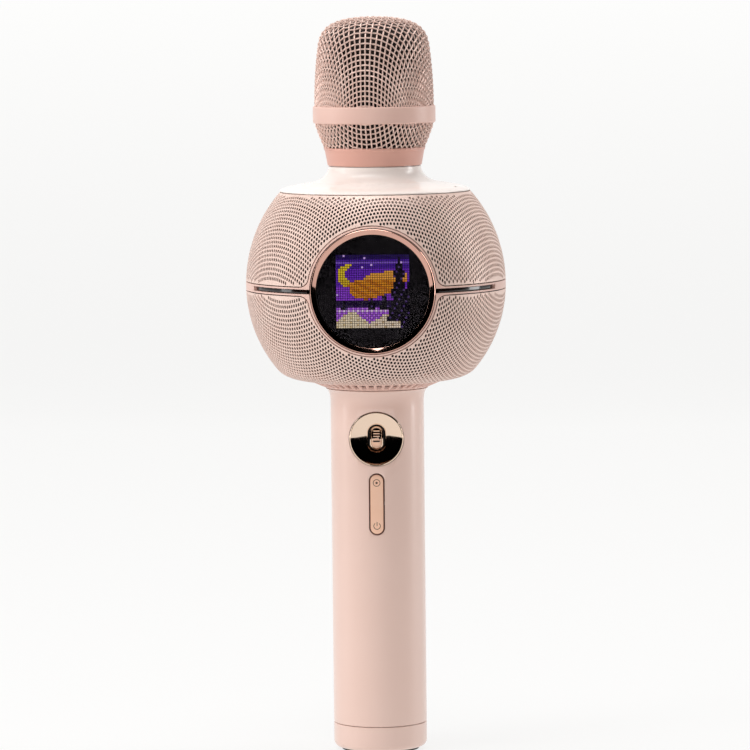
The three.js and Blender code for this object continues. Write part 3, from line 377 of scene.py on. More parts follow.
# %% Blacks and clears
FINISHES["lens_black"] = surface(
    "smoked_clear_acrylic", "#B9B4B8", "#B2ADB2", 30, 0.02, 0.01,
    Transmission_Weight=1.0, IOR=1.12,
)
FINISHES["smoked_bar"] = surface(
    "deep_smoked_acrylic", "#1A0D0C", "#110807", 6, 0.12, 0.03, Coat_Weight=0.5
)
FINISHES["plastic_black"] = surface(
    "moulded_black_abs", "#1B1917", "#121110", 8, 0.55, relief=(0.4, 0.02)
)
FINISHES["led_black"] = surface("black_soldermask", "#0B0810", "#07050A", 4, 0.5)
FINISHES["foam_dark"] = surface(
    "open_cell_foam", "#2B1D19", "#120B09", 0.9, 0.95, relief=(0.5, 0.25), Sheen_Weight=0.15
)
FINISHES["foot_rubber"] = surface(
    "moulded_rubber", "#3B3535", "#2C2727", 5, 0.8, relief=(0.3, 0.03)
)
FINISHES["surround_rubber"] = surface(
    "butyl_rubber", "#1D1C1D", "#141314", 5, 0.7, relief=(0.4, 0.02)
)

# %% Inner metals, boards and paper
FINISHES["steel"] = surface(
    "zinc_plated_steel", "#C4C6C8", "#A9ACAF", 3, 0.3, 0.08, relief=(0.2, 0.004), Metallic=1.0
)
FINISHES["capsule_metal"] = surface(
    "brass_capsule", "#C9A54E", "#B28F3F", 3, 0.3, 0.06, Metallic=1.0
)
FINISHES["ferrite"] = surface("sintered_ferrite", "#2F2F31", "#252527", 2, 0.6, relief=(0.3, 0.02))
FINISHES["cone_paper"] = surface("pressed_paper", "#303032", "#232325", 2, 0.85, relief=(0.4, 0.05))
FINISHES["board_green"] = surface("green_soldermask", "#22633F", "#1A5234", 4, 0.42)
FINISHES["battery_wrap"] = surface("pvc_shrink_wrap", "#4D83BA", "#4377AC", 12, 0.35)

NODE_SLOTS = {part["node"]: part["material_slot"] for part in frame["record"]["subparts"]}
for name, node in frame["nodes"].items():
    slot = NODE_SLOTS.get(name)
    if slot in FINISHES:
        node.data.materials.clear()
        node.data.materials.append(FINISHES[slot])
print(len(FINISHES), "finishes;", len(NODE_SLOTS), "CAD nodes have one")

# %% [markdown]
# ## Making helpers
#
# Most pieces are turned or moulded, so they are skins laid over rings of points. `loft` joins such
# rings, `turned` revolves an outline, `rounded` gives an outline's corners their small radius, and
# `carve` cuts one solid with another. `fit` puts the finished piece on its CAD body.

# %% Skins over rings
ROUND = 160  # facets round a big piece
SMALL = 64  # round a small one


def bake(piece):
    """Turns the evaluated object into a plain mesh and drops its modifiers."""
    bpy.context.view_layer.update()
    evaluated = piece.evaluated_get(bpy.context.evaluated_depsgraph_get())
    mesh = bpy.data.meshes.new_from_object(evaluated)
    piece.modifiers.clear()
    piece.data = mesh
    return piece


def smooth(piece, angle=32):
    piece.data.shade_smooth()
    piece.data.set_sharp_from_angle(angle=math.radians(angle))
    return piece


def clean(piece, distance=0.002 * MM):
    """Merges doubles and turns the faces outwards."""
    shell = bmesh.new()
    shell.from_mesh(piece.data)
    bmesh.ops.remove_doubles(shell, verts=shell.verts, dist=distance)
    bmesh.ops.dissolve_degenerate(shell, edges=shell.edges, dist=distance)
    bmesh.ops.recalc_face_normals(shell, faces=shell.faces)
    shell.to_mesh(piece.data)
    shell.free()
    return smooth(piece)


def loft(name, rings, loop=False):
    rings = np.asarray(rings, float)
    count, size = rings.shape[:2]
    index = np.arange(count * size).reshape(count, size)
    faces = []
    for k in range(count if loop else count - 1):
        a, b = index[k].tolist(), index[(k + 1) % count].tolist()
        faces += [(a[i - 1], a[i], b[i], b[i - 1]) for i in range(size)]
    if not loop:
        faces += [tuple(index[0].tolist()), tuple(index[-1].tolist()[::-1])]
    mesh = bpy.data.meshes.new(name)
    mesh.from_pydata(rings.reshape(-1, 3).tolist(), [], faces)
    return clean(put_in_scene(name, mesh))


# %% Turned pieces and outlines


def turned(name, outline, steps=ROUND, axis="Z", at=(0, 0, 0)):
    """Revolves a closed outline of (radius, height) in mm about Z, or (radius, y) about Y."""
    turn = np.linspace(0, 2 * math.pi, steps, endpoint=False)
    rings = []
    for radius, level in outline:
        across, along = radius * np.cos(turn), radius * np.sin(turn)
        flat = np.full(steps, level)
        rings.append(np.stack([across, along, flat] if axis == "Z" else [across, flat, along], 1))
    return loft(name, (np.array(rings) + at) * MM, loop=True)


def curve(*corners, steps=8):
    """Points on the Bezier curve of 3 or 4 corner points."""
    line = [np.array(c, float) for c in corners]
    points = []
    for t in np.linspace(0, 1, steps + 1):
        level = line
        while len(level) > 1:
            level = [a * (1 - t) + b * t for a, b in zip(level, level[1:])]
        points.append(tuple(level[0]))
    return points


def rounded(corners, radius, steps=4):
    """Rounds each corner; a corner may carry a radius of its own as a third number."""
    out = []
    for i, corner in enumerate(corners):
        before, here, after = (np.array(corners[(i + d) % len(corners)][:2]) for d in (-1, 0, 1))
        own = corner[2] if len(corner) > 2 else radius
        back, ahead = before - here, after - here
        u, v = back / np.linalg.norm(back), ahead / np.linalg.norm(ahead)
        angle = math.acos(float(np.clip(u @ v, -1, 1)))
        if own == 0 or angle > math.radians(165):
            out.append(tuple(here))
            continue
        reach = min(own / math.tan(angle / 2), 0.45 * np.linalg.norm(back), 0.45 * np.linalg.norm(ahead))
        out += curve(here + u * reach, here, here + v * reach, steps=steps)
    return out


def obround(width, length, steps=SMALL):
    """Points (x, z) on a slot outline with round ends, upright."""
    turn = np.linspace(0, 2 * math.pi, steps, endpoint=False)
    radius, straight = width / 2, (length - width) / 2
    half = np.sign(np.sin(turn + 1e-9))  # the upper or the lower round end
    return np.stack([radius * np.cos(turn), radius * np.sin(turn) + straight * half], 1)


def unit_circle(steps):
    turn = np.linspace(0, 2 * math.pi, steps, endpoint=False)
    return np.stack([np.cos(turn), np.sin(turn)], 1)


def level_ring(outline, y, z):
    """An (x, z) outline as a ring of points at depth y and height z, in metres."""
    return np.stack([outline[:, 0], np.full(len(outline), y), outline[:, 1] + z], 1) * MM


# %% Carving and fitting


def carve(piece, cutter, operation="DIFFERENCE"):
    modifier = piece.modifiers.new("carve", "BOOLEAN")
    modifier.operation, modifier.solver, modifier.object = operation, "EXACT", cutter
    bake(piece)
    bpy.data.objects.remove(cutter)
    return piece


def soften(piece, width, segments=2, angle=40):
    """Breaks the sharp edges with a small bevel, in mm."""
    modifier = piece.modifiers.new("soften", "BEVEL")
    modifier.width, modifier.segments = width * MM, segments
    modifier.limit_method, modifier.angle_limit = "ANGLE", math.radians(angle)
    modifier.harden_normals = False
    return smooth(bake(piece), 35)


def fit(piece, body, slot, *nodes, finish=None):
    piece.data.materials.clear()
    piece.data.materials.append(finish or FINISHES[slot])
    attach(piece, body)
    if nodes:
        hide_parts(*nodes)
    corners = len(piece.data.vertices)
    print(f"{piece.name}: {corners} vertices, on {body}, for {', '.join(nodes) or 'no node of its own'}")
    return piece


BODY = "microphone_body"
HEAD = "head"


def mm(metres):
    return metres / MM


# %% [markdown]
# Geometry Nodes make everything that repeats. `open_tree` starts a tree with named sizes,
# `close_tree` ends it in Realize Instances and Set Material, and `grow` runs it once and keeps the
# plain mesh.

# %% Geometry tree helpers


def open_tree(name, **sizes):
    tree = bpy.data.node_groups.new(name, "GeometryNodeTree")
    tree.interface.new_socket("Geometry", in_out="INPUT", socket_type="NodeSocketGeometry")
    for label, value in sizes.items():
        kind = "NodeSocketInt" if isinstance(value, int) else "NodeSocketFloat"
        socket = tree.interface.new_socket(label.replace("_", " "), in_out="INPUT", socket_type=kind)
        socket.default_value = value
    tree.interface.new_socket("Geometry", in_out="OUTPUT", socket_type="NodeSocketGeometry")
    return tree, add(tree, "NodeGroupInput").outputs


def close_tree(tree, geometry, finish, weld=None):
    made = add(tree, "GeometryNodeRealizeInstances", Geometry=geometry).outputs[0]
    if weld:
        made = add(tree, "GeometryNodeMergeByDistance", Geometry=made, Distance=weld).outputs[0]
    made = add(tree, "GeometryNodeSetMaterial", Geometry=made, Material=finish).outputs[0]
    add(tree, "NodeGroupOutput", in0=made)
    return tree


def grow(name, tree, base=None, **sizes):
    piece = put_in_scene(name, base or bpy.data.meshes.new(name))
    modifier = piece.modifiers.new("grow", "NODES")
    modifier.node_group = tree
    for item in tree.interface.items_tree:
        key = item.name.replace(" ", "_")
        if item.in_out == "INPUT" and key in sizes:
            modifier[item.identifier] = sizes[key]
    return bake(piece)


def calc(tree, operation, a, b=0.0):
    return add(tree, "ShaderNodeMath", {"operation": operation}, in0=a, in1=b).outputs[0]


# %% [markdown]
# ## Grip
#
# The base cap, the grip tube and the cap's seam are turned shapes, so each is an outline revolved
# about the axis. The outline carries the real wall and the rounded bottom edge, and the corners at
# the seam get a small radius: two rounded corners facing each other across 0.2 mm are what draws
# the fine line above the foot.

# %% Base cap and foot
R = mm(grip_radius)
FOOT = mm(cap_bottom)
SEAM_Z = mm(high("handle_tube").z) - (mm(grip_top) - mm(grip_bottom))
CAP_TOP = SEAM_Z - 0.2
CAP_SCREW_X = mm((low("cap_screw_right").x + high("cap_screw_right").x) / 2)


def base_cap():
    outline = rounded(
        [
            (0, FOOT, 0), (R, FOOT, 3.0), (R, CAP_TOP, 0.3), (16.55, CAP_TOP), (16.55, CAP_TOP + 5),
            (14.75, CAP_TOP + 5), (14.75, FOOT + 3.4), (0, FOOT + 3.4, 0),
        ],
        0.2, steps=8,
    )
    cap = turned("base_cap_lacquered", outline)
    seat = FOOT + 1.8  # under the screw's head
    bore = [(0, -2, 0), (2.45, -2, 0), (2.45, seat), (1.45, seat), (1.45, 12, 0), (0, 12, 0)]
    for x in (-CAP_SCREW_X, CAP_SCREW_X):
        well = turned("well", rounded(bore, 0.1), 48)
        well.data.transform(Matrix.Translation((x * MM, 0, 0)))
        carve(cap, well)
    return fit(smooth(cap), BODY, "casing_pink", "base_cap")


def base_foot():
    radius = mm(half_width("base_foot"))
    grooves = [(0, FOOT, 0), (0, 0.0, 0)]
    for r in (4.0, 8.0, 12.0):
        grooves += [(r, 0.0), (r + 0.3, 0.35), (r + 1.1, 0.35), (r + 1.4, 0.0)]
    grooves += [(radius, 0.0, 0.35), (radius, FOOT, 0.1)]
    foot = turned("rubber_foot", rounded(grooves, 0.12), 96)
    return fit(foot, BODY, "foot_rubber", "base_foot")


base_cap()
base_foot()

# %% [markdown]
# The grip tube has three openings: a round one for the switch dish, a slot for the rocker bar and
# a small one at the back for the charging socket. They are carved out of the turned tube, as a
# cutter would mill them, and a small bevel breaks their edges.

# %% Grip tube
ROCKER_Z = mm((low("rocker_bar").z + high("rocker_bar").z) / 2)
DISH_Z = mm((low("switch_dish").z + high("switch_dish").z) / 2)
DISH_R = mm(half_width("switch_dish"))
USB_Z = mm((low("usb_socket").z + high("usb_socket").z) / 2)


def prism(name, outline, front, back, z=0.0):
    return loft(name, [level_ring(outline, front, z), level_ring(outline, back, z)])


def grip_tube():
    bottom, top = mm(grip_bottom), mm(grip_top)
    flare = mm(flare_radius)
    levels = [(R, z, 0) for z in np.arange(bottom + 4, top - 6, 4.0)]
    bend = [(*p, 0) for p in curve((R, top - 6), (R, top - 1), (flare, top - 0.15), steps=10)]
    inner = [(R - 2, z, 0) for z in np.arange(top - 4, bottom + 3, -8.0)]
    outline = rounded(
        [(R - 2, bottom), (R, bottom, 0.3), *levels, *bend, (flare - 0.1, top), (R - 2, top), *inner], 0.1
    )
    tube = turned("grip_tube_lacquered", outline)
    carve(tube, prism("dish_hole", unit_circle(96) * (DISH_R + 0.15), -30, 0, DISH_Z))
    carve(tube, prism("rocker_hole", obround(6.3, 24.9, 64), -30, 0, ROCKER_Z))
    carve(tube, prism("usb_hole", obround(3.8, 9.6, 48)[:, ::-1], 5, 30, USB_Z))
    return fit(soften(tube, 0.18), BODY, "casing_pink", "handle_tube")


grip_tube()

# %% [markdown]
# ## Switch dish and key
#
# A concave mirror, sunk behind a thin rim that follows the curve of the grip. The rings start at
# the back edge, go round the rim, down the wall and over the bowl, and change from circles to the
# slot shape of the well, with a low lip round it, so the whole dish is one loft. The key stands in
# the well: an arched cap with a raised border, three grip bars and a thumb pad.

# %% Mirror dish
DISH_BACK = mm(high("switch_dish").y)
DISH_EDGE_Y = DISH_BACK - 3.5
DISH_DEPTH = 2.0
RIM_WALL = 0.65
WELL = (7.0, 10.6)


def mirror_dish():
    circle = unit_circle(128)
    inner = DISH_R - RIM_WALL
    bowl_radius = (inner**2 + DISH_DEPTH**2) / (2 * DISH_DEPTH)

    def on_grip(outline, proud):
        depth = -np.sqrt((R + proud) ** 2 - outline[:, 0] ** 2)
        return np.stack([outline[:, 0], depth, outline[:, 1] + DISH_Z], 1) * MM

    def in_bowl(outline):
        far = np.hypot(outline[:, 0], outline[:, 1])
        depth = DISH_EDGE_Y + DISH_DEPTH - bowl_radius + np.sqrt(bowl_radius**2 - far**2)
        return np.stack([outline[:, 0], depth, outline[:, 1] + DISH_Z], 1) * MM

    well = obround(*WELL, steps=128)
    rings = [
        level_ring(circle * DISH_R, DISH_BACK, DISH_Z),
        on_grip(circle * DISH_R, -0.25),
        on_grip(circle * (DISH_R - 0.06), 0.05),
        on_grip(circle * (DISH_R - 0.2), 0.14),
        on_grip(circle * (inner + 0.2), 0.14),
        on_grip(circle * (inner + 0.06), 0.05),
        on_grip(circle * inner, -0.2),
        level_ring(circle * inner, DISH_EDGE_Y - 0.05, DISH_Z),
    ]
    for t in np.linspace(0, 0.9, 12):
        rings.append(in_bowl(circle * inner * 0.995 * (1 - t) + well * 1.09 * t))
    for size, proud in ((1.09, 0.0), (1.055, 0.16), (1.025, 0.17), (1.0, 0.05)):
        lip = in_bowl(well * size)
        lip[:, 1] -= proud * MM
        rings.append(lip)
    lip = in_bowl(well * 0.985)
    lip[:, 1] += 0.12 * MM
    rings.append(lip)
    rings.append(level_ring(well * 0.985, DISH_BACK, DISH_Z))
    dish = loft("switch_dish_plated", rings, loop=True)
    return fit(dish, BODY, "rose_mirror", "switch_dish")


mirror_dish()

# %% Toggle key
KEY_CREST = mm(low("toggle_key").y)
KEY_WIDTH, KEY_LENGTH = 5.3, 9.4
KEY_CROWN = 9.0  # radius of its arch
PAD_DROP = 1.9  # the thumb pad's middle, below the key's


def key_front(z):
    """Depth of the key's arched front at a height above its middle."""
    return KEY_CREST + KEY_CROWN - np.sqrt(KEY_CROWN**2 - np.asarray(z) ** 2)


def toggle_key():
    rings = []
    border = [  # how much narrower and shorter each ring is, and how far it lies behind the crown
        (0, 0.45), (0, 0.2), (0.2, 0.04), (0.45, 0.0), (1.0, 0.02), (1.25, 0.14), (1.5, 0.34), (1.9, 0.4),
        (3.4, 0.4),
    ]
    sizes = [(KEY_WIDTH - less, KEY_LENGTH - less, sink) for less, sink in border]
    for width, length, sink in [*sizes, (0.6, KEY_LENGTH - 6.0, 0.4)]:
        outline = obround(width, length)
        ring = level_ring(outline, 0, DISH_Z)
        ring[:, 1] = (key_front(outline[:, 1]) + sink) * MM
        rings.append(ring)
    back = level_ring(obround(KEY_WIDTH, KEY_LENGTH), DISH_BACK - 0.9, DISH_Z)
    key = loft("toggle_key_plated", [back, *rings])
    return fit(key, "toggle", "rose_mirror", "toggle_key")


toggle_key()

# %% [markdown]
# The grip bars on the key are one small rounded bar, placed three times up the upper half by a
# tree. The same tree lays one wider bar across the thumb pad, coloured black as a painted dark
# reflection on the pad's groove.

# %% Grip bars on the key


def bar_tree():
    tree, sizes = open_tree("grip_bars", Count=3, Step=0.001, Length=0.0025, Thickness=0.0004)
    half = calc(tree, "MULTIPLY", sizes["Length"], 0.5)
    start = add(tree, "ShaderNodeCombineXYZ", X=calc(tree, "MULTIPLY", half, -1.0)).outputs[0]
    end = add(tree, "ShaderNodeCombineXYZ", X=half).outputs[0]
    line = add(tree, "GeometryNodeCurvePrimitiveLine", Start=start, End=end).outputs[0]
    profile = add(
        tree, "GeometryNodeCurvePrimitiveCircle", Resolution=8,
        Radius=calc(tree, "MULTIPLY", sizes["Thickness"], 0.5),
    ).outputs[0]
    bar = add(tree, "GeometryNodeCurveToMesh", Curve=line, in1=profile)
    bar.inputs["Fill Caps"].default_value = True
    step = add(tree, "ShaderNodeCombineXYZ", Z=sizes["Step"]).outputs[0]
    row = add(tree, "GeometryNodeMeshLine", Count=sizes["Count"], Offset=step).outputs[0]
    placed = add(tree, "GeometryNodeInstanceOnPoints", Points=row, Instance=bar.outputs[0]).outputs[0]
    return close_tree(tree, placed, FINISHES["rose_mirror"])


def lay_on_key(piece, lift, sink, bow=0.0):
    """Bends a flat piece over the key's arch, lift above its middle and sink behind its crown."""
    points = np.array([v.co for v in piece.data.vertices])
    height = points[:, 2] / MM + lift + bow * (points[:, 0] / MM) ** 2
    points[:, 1] += (key_front(height) + sink) * MM
    points[:, 2] = (height + DISH_Z) * MM
    piece.data.vertices.foreach_set("co", points.ravel())
    return clean(piece)


def key_bars():
    bars = grow("key_grip_bars", bar_tree(), Count=3, Step=1.05 * MM, Length=2.5 * MM, Thickness=0.42 * MM)
    return fit(lay_on_key(bars, 0.75, 0.36), "toggle", "rose_mirror")


def thumb_pad():
    rings = []
    for inset, proud in [(0.0, 0.5), (0.0, 0.0), (0.12, -0.1), (0.4, -0.14), (1.6, -0.14)]:
        outline = obround(3.5 - inset * 2, 3.9 - inset * 2 if inset < 1 else 0.9, 48) - [0, PAD_DROP]
        ring = level_ring(outline, 0, DISH_Z)
        ring[:, 1] = (key_front(outline[:, 1]) + 0.3 + proud) * MM
        rings.append(ring)
    pad = loft("key_thumb_pad", rings)
    return fit(pad, "toggle", "rose_gold")


def thumb_groove_painted_reflection():
    """The groove across the thumb pad, coloured black as a painted dark reflection of its plated ridge."""
    groove = grow("key_thumb_groove", bar_tree(), Count=1, Length=2.7 * MM, Thickness=0.6 * MM)
    groove = lay_on_key(groove, -1.45, 0.13, bow=0.12)
    # black here is painted reflection: the plated ridge would mirror the dark room
    return fit(groove, "toggle", "rose_mirror", finish=FINISHES["plastic_black"])


key_bars()
thumb_pad()
thumb_groove_painted_reflection()

# %% [markdown]
# ## Rocker bar
#
# A satin bar with round ends that tips to press one of two switches. One stack of slot outlines
# gives two pieces: a skirt coloured dark brown, which paints the shade in the gap round the bar as a
# dark line, and a slightly smaller plated face. The two marks, a thin ring with a dot and a thin arc
# with a stroke, are the plain signs for record and power; their dark brown is painted shade in the
# engraved lines.

# %% Rocker and its marks
ROCKER_FRONT = mm(low("rocker_bar").y)
MARK_SPACING = 8.65
# corners of a mark's section: which side of its line, and how far behind the rocker's face
MARK_SECTION = [(-1, 0.05), (-1, -0.02), (1, -0.02), (1, 0.05)]
# dark brown skirt: painted shade of the gap between the bar and the grip
bronzed_skirt = surface("bronzed_skirt", "#7A4D3F", "#603A2F", 3, 0.3, Metallic=0.4)


def rocker_bar():
    stack = [
        (5.9, 24.5, 2.7), (5.9, 24.5, 0.55), (5.76, 24.36, 0.41), (5.1, 23.7, 0.36), (5.05, 23.65, 0.3),
        (4.98, 23.58, 0.12), (4.85, 23.45, 0.02), (4.6, 23.2, 0), (0.4, 18.9, 0), (0.4, 18.9, 0.36),
    ]
    *rings, under_face = [level_ring(obround(w, l), ROCKER_FRONT + sunk, ROCKER_Z) for w, l, sunk in stack]
    skirt = loft("rocker_skirt_bronzed", [*rings[:4], under_face])
    fit(skirt, "rocker", "rose_gold", "rocker_bar", finish=bronzed_skirt)
    return fit(loft("rocker_face_plated", rings[3:]), "rocker", "rose_gold")


rocker_bar()

# dark brown for the engraved marks: painted shade in their lines
groove_shade = surface("filled_engraving", "#5A3A2E", "#4A2E24", 2, 0.5)


def ring_line(radius, width, start=0.0, end=360.0):
    """A thin flat ring or arc in front of the rocker, as rings of a small section."""
    turn = np.radians(np.linspace(start, end, 48, endpoint=end - start < 360))
    rings = []
    for angle in turn:
        section = []
        for off, sink in MARK_SECTION:
            far = radius + off * width / 2
            section.append((far * math.cos(angle), ROCKER_FRONT + sink, far * math.sin(angle)))
        rings.append(section)
    return np.array(rings)


def rocker_marks():
    upper = ring_line(1.35, 0.24)
    dot = ring_line(0.26, 0.4)
    lower = ring_line(1.3, 0.24, 125, 415)
    stroke = np.array([
        [(side * 0.13, ROCKER_FRONT + sink, z) for side, sink in MARK_SECTION] for z in (0.1, 1.6)
    ])
    for name, rings, z, loop in [
        ("record_ring", upper, 1, True), ("record_dot", dot, 1, True),
        ("power_ring", lower, -1, False), ("power_stroke", stroke, -1, False),
    ]:
        placed = rings + [0, 0, ROCKER_Z + z * MARK_SPACING]
        fit(loft(name, placed * MM, loop=loop), "rocker", "rose_gold", finish=groove_shade)


rocker_marks()

# %% [markdown]
# ## Charging socket
#
# A USB-C socket in the back of the grip: a drawn steel shell with a rounded mouth and a contact
# tongue in the middle.

# %% Charging socket


def socket_shell():
    back = mm(high("usb_socket").y)

    def lying(width, length, sunk, steps=48):
        return level_ring(obround(width, length, steps)[:, ::-1], back - sunk, USB_Z)

    rings = [
        lying(3.2, 9.0, 7.4), lying(3.2, 9.0, 0.2), lying(3.0, 8.8, 0),
        lying(2.7, 8.5, 0), lying(2.4, 8.2, 0.25), lying(2.4, 8.2, 6),
    ]
    shell = loft("usb_shell_drawn", rings)
    fit(shell, BODY, "steel", "usb_socket")
    tongue = [lying(0.7, 6.4, 6.1, 32), lying(0.7, 6.4, 1.3, 32), lying(0.45, 6.0, 1.0, 32)]
    fit(loft("usb_tongue", tongue), BODY, "steel", finish=FINISHES["plastic_black"])


socket_shell()

# %% [markdown]
# ## Ball
#
# The ball is two half ellipses that meet at the belt. Each half is a steel sheet, punched flat in
# staggered rows and then pressed into shape. Pressing keeps the area of the steel, so the holes
# draw together sideways and apart upwards on the way down to the belt, and that is what makes the
# fans of curved rows. The lesson does it in the same order: Geometry Nodes punch the flat sheet,
# and a function presses it over the ball and trims it at the belt and the display.

# %% Ball shape
BALL_Z = mm(belt_z)
BALL_R = mm(ball_radius)
UPPER, LOWER = 54.5, 52.5
TOP_CUT = mm(ball_top)
BOTTOM_CUT = mm(ball_bottom)
BELT = 1.6
GAP_LINE = 0.4
EYE_RING = mm(ring_radius) + 1.0
EYE_FILLET = 4.0
SHEET_EDGE = BELT + GAP_LINE
FOOT_R = mm(half_width("vent_ring")) + 0.2


def ball_at(z):
    """Radius of the ball at a height over the belt."""
    half = np.where(np.asarray(z) > 0, UPPER, LOWER)
    return BALL_R * np.sqrt(np.clip(1 - (z / half) ** 2, 0, 1))


def half_profile(side):
    """(radius, height) from the belt to the far edge of one half."""
    if side > 0:
        z = np.linspace(SHEET_EDGE, TOP_CUT, 240)
        return np.stack([ball_at(z), z], 1)
    turn = BOTTOM_CUT - 4.6
    z = -np.linspace(SHEET_EDGE, turn, 220)
    wall = np.stack([ball_at(z), z], 1)
    r, low_z = wall[-1]
    foot = np.array(curve((r, low_z), (r - 3.2, 0.6 - BOTTOM_CUT), (FOOT_R, -BOTTOM_CUT), steps=40))
    return np.concatenate([wall, foot[1:]])


def eye_limits(margin):
    ring, half, fillet = EYE_RING + margin, BELT + margin, EYE_FILLET - margin
    centre_x = math.sqrt((ring + fillet) ** 2 - (half + fillet) ** 2)
    touch = math.atan2(half + fillet, centre_x)
    return ring, half, fillet, centre_x, touch


print("upper half", half_profile(1)[-1].round(2), "lower half", half_profile(-1)[-1].round(2))

# %% [markdown]
# The tree lays a staggered grid and puts a six-sided cell on each point. Cells near an edge stay
# plain, the rest carry a hole. To know how near an edge a point will end, it uses the pressing
# rule: on an equal-area sheet, the height on the ball goes with the square of the distance from
# the pole.

# %% Tree that punches a flat sheet


def punched_sheet_tree():
    tree, size = open_tree(
        "punched_sheet", Pitch=0.0016, Hole_Radius=0.0004, Columns=97, Rows=111, Turn=0.0,
        Inner_Radius=0.04, Outer_Radius=0.075, Sheet_Radius=0.053, Ball_Radius=0.052,
        Half_Height=0.0545, Plain_Eye=0.027, Plain_Belt=0.003, Plain_Edge=0.0012,
    )
    times, over, plus, minus, below, either = (
        lambda a, b, operation=operation: calc(tree, operation, a, b)
        for operation in ("MULTIPLY", "DIVIDE", "ADD", "SUBTRACT", "LESS_THAN", "MAXIMUM")
    )
    pitch = size["Pitch"]
    row_pitch = times(pitch, math.sqrt(3) / 2)
    grid = add(
        tree, "GeometryNodeMeshGrid", Vertices_X=size["Columns"], Vertices_Y=size["Rows"],
        Size_X=times(pitch, minus(size["Columns"], 1.0)),
        Size_Y=times(row_pitch, minus(size["Rows"], 1.0)),
    ).outputs["Mesh"]
    place = add(tree, "GeometryNodeInputPosition").outputs[0]
    split = add(tree, "ShaderNodeSeparateXYZ", Vector=place).outputs
    row = calc(tree, "ROUND", over(split["Y"], row_pitch))
    odd = calc(tree, "MODULO", plus(row, 1000.0), 2.0)
    shift = times(odd, times(pitch, 0.5))
    staggered = add(
        tree, "GeometryNodeSetPosition", Geometry=grid,
        Offset=add(tree, "ShaderNodeCombineXYZ", X=shift).outputs[0],
    ).outputs[0]
    rotation = add(tree, "FunctionNodeAxisAngleToRotation", Axis=(0, 0, 1), Angle=size["Turn"])
    turned_grid = add(
        tree, "GeometryNodeTransform", Geometry=staggered, Rotation=rotation.outputs[0]
    ).outputs[0]

    far = add(tree, "ShaderNodeVectorMath", {"operation": "LENGTH"}, in0=place).outputs["Value"]
    share = over(times(far, far), times(2.0, times(size["Sheet Radius"], size["Sheet Radius"])))
    rise = minus(1.0, share)
    height = times(size["Half Height"], rise)
    around = times(size["Ball Radius"], calc(tree, "SQRT", minus(1.0, times(rise, rise))))
    across = times(around, over(split["X"], far))
    from_eye = calc(tree, "SQRT", plus(times(across, across), times(height, height)))
    front = below(split["Y"], 0.0)
    by_eye = times(front, below(from_eye, size["Plain Eye"]))
    by_belt = below(height, size["Plain Belt"])
    edge = plus(size["Inner Radius"], size["Plain Edge"])
    by_edge = below(far, edge)
    plain = either(either(by_eye, by_belt), by_edge)

    well_inside = minus(size["Plain Eye"], times(pitch, 2.4))
    inside_eye = times(front, below(from_eye, well_inside))
    too_near = below(far, minus(size["Inner Radius"], pitch))
    too_far = calc(tree, "GREATER_THAN", far, plus(size["Outer Radius"], pitch))
    gone = either(either(too_near, too_far), inside_eye)
    kept = add(
        tree, "GeometryNodeDeleteGeometry", {"domain": "POINT"}, Geometry=turned_grid, Selection=gone
    ).outputs[0]

    corner = over(pitch, math.sqrt(3))
    hexagon = add(tree, "GeometryNodeMeshCircle", Vertices=6, Radius=corner).outputs[0]
    drawn = add(tree, "GeometryNodeExtrudeMesh", {"mode": "EDGES"}, Mesh=hexagon, Offset_Scale=0.0)
    holed = add(
        tree, "GeometryNodeSetPosition", Geometry=drawn.outputs["Mesh"], Selection=drawn.outputs["Top"],
        Position=add(
            tree, "ShaderNodeVectorMath", {"operation": "SCALE"}, in0=place,
            Scale=over(size["Hole Radius"], corner),
        ).outputs[0],
    ).outputs[0]
    blank = add(
        tree, "GeometryNodeMeshCircle", {"fill_type": "TRIANGLE_FAN"}, Vertices=6, Radius=corner
    ).outputs[0]
    upright = add(
        tree, "FunctionNodeAxisAngleToRotation", Axis=(0, 0, 1),
        Angle=plus(size["Turn"], math.radians(30)),
    ).outputs[0]
    both = add(tree, "GeometryNodeJoinGeometry")
    for cell, chosen in ((holed, minus(1.0, plain)), (blank, plain)):
        laid = add(
            tree, "GeometryNodeInstanceOnPoints", Points=kept, Selection=chosen,
            Instance=cell, Rotation=upright,
        ).outputs[0]
        tree.links.new(laid, both.inputs[0])
    return close_tree(tree, both.outputs[0], FINISHES["grille_pink"], weld=0.03 * MM)


sheet_tree = punched_sheet_tree()
print(len(sheet_tree.nodes), "nodes punch the sheet")

# %% Press the sheet over the ball
SHEET_WALL = 0.35


def push_out_of_eye(x, z):
    """Moves points of the front that lie inside the display surround out to its edge."""
    ring, half, fillet, centre_x, touch = eye_limits(GAP_LINE)
    ax, az = np.abs(x), np.abs(z)
    far, angle = np.hypot(ax, az), np.arctan2(az, ax)
    in_ring = (angle >= touch) & (far < ring)
    stretch = np.where(in_ring, ring / np.maximum(far, 1e-6), 1)
    to_x, to_z = ax - centre_x, az - half - fillet
    off = np.hypot(to_x, to_z)
    in_corner = (angle < touch) & (ax < centre_x) & (off > fillet)
    pull = np.where(in_corner, fillet / np.maximum(off, 1e-6), 1)
    new_x = np.where(in_corner, centre_x + to_x * pull, ax * stretch)
    new_z = np.where(in_corner, half + fillet + to_z * pull, az * stretch)
    return np.sign(x) * new_x, np.sign(z) * new_z, in_ring | in_corner


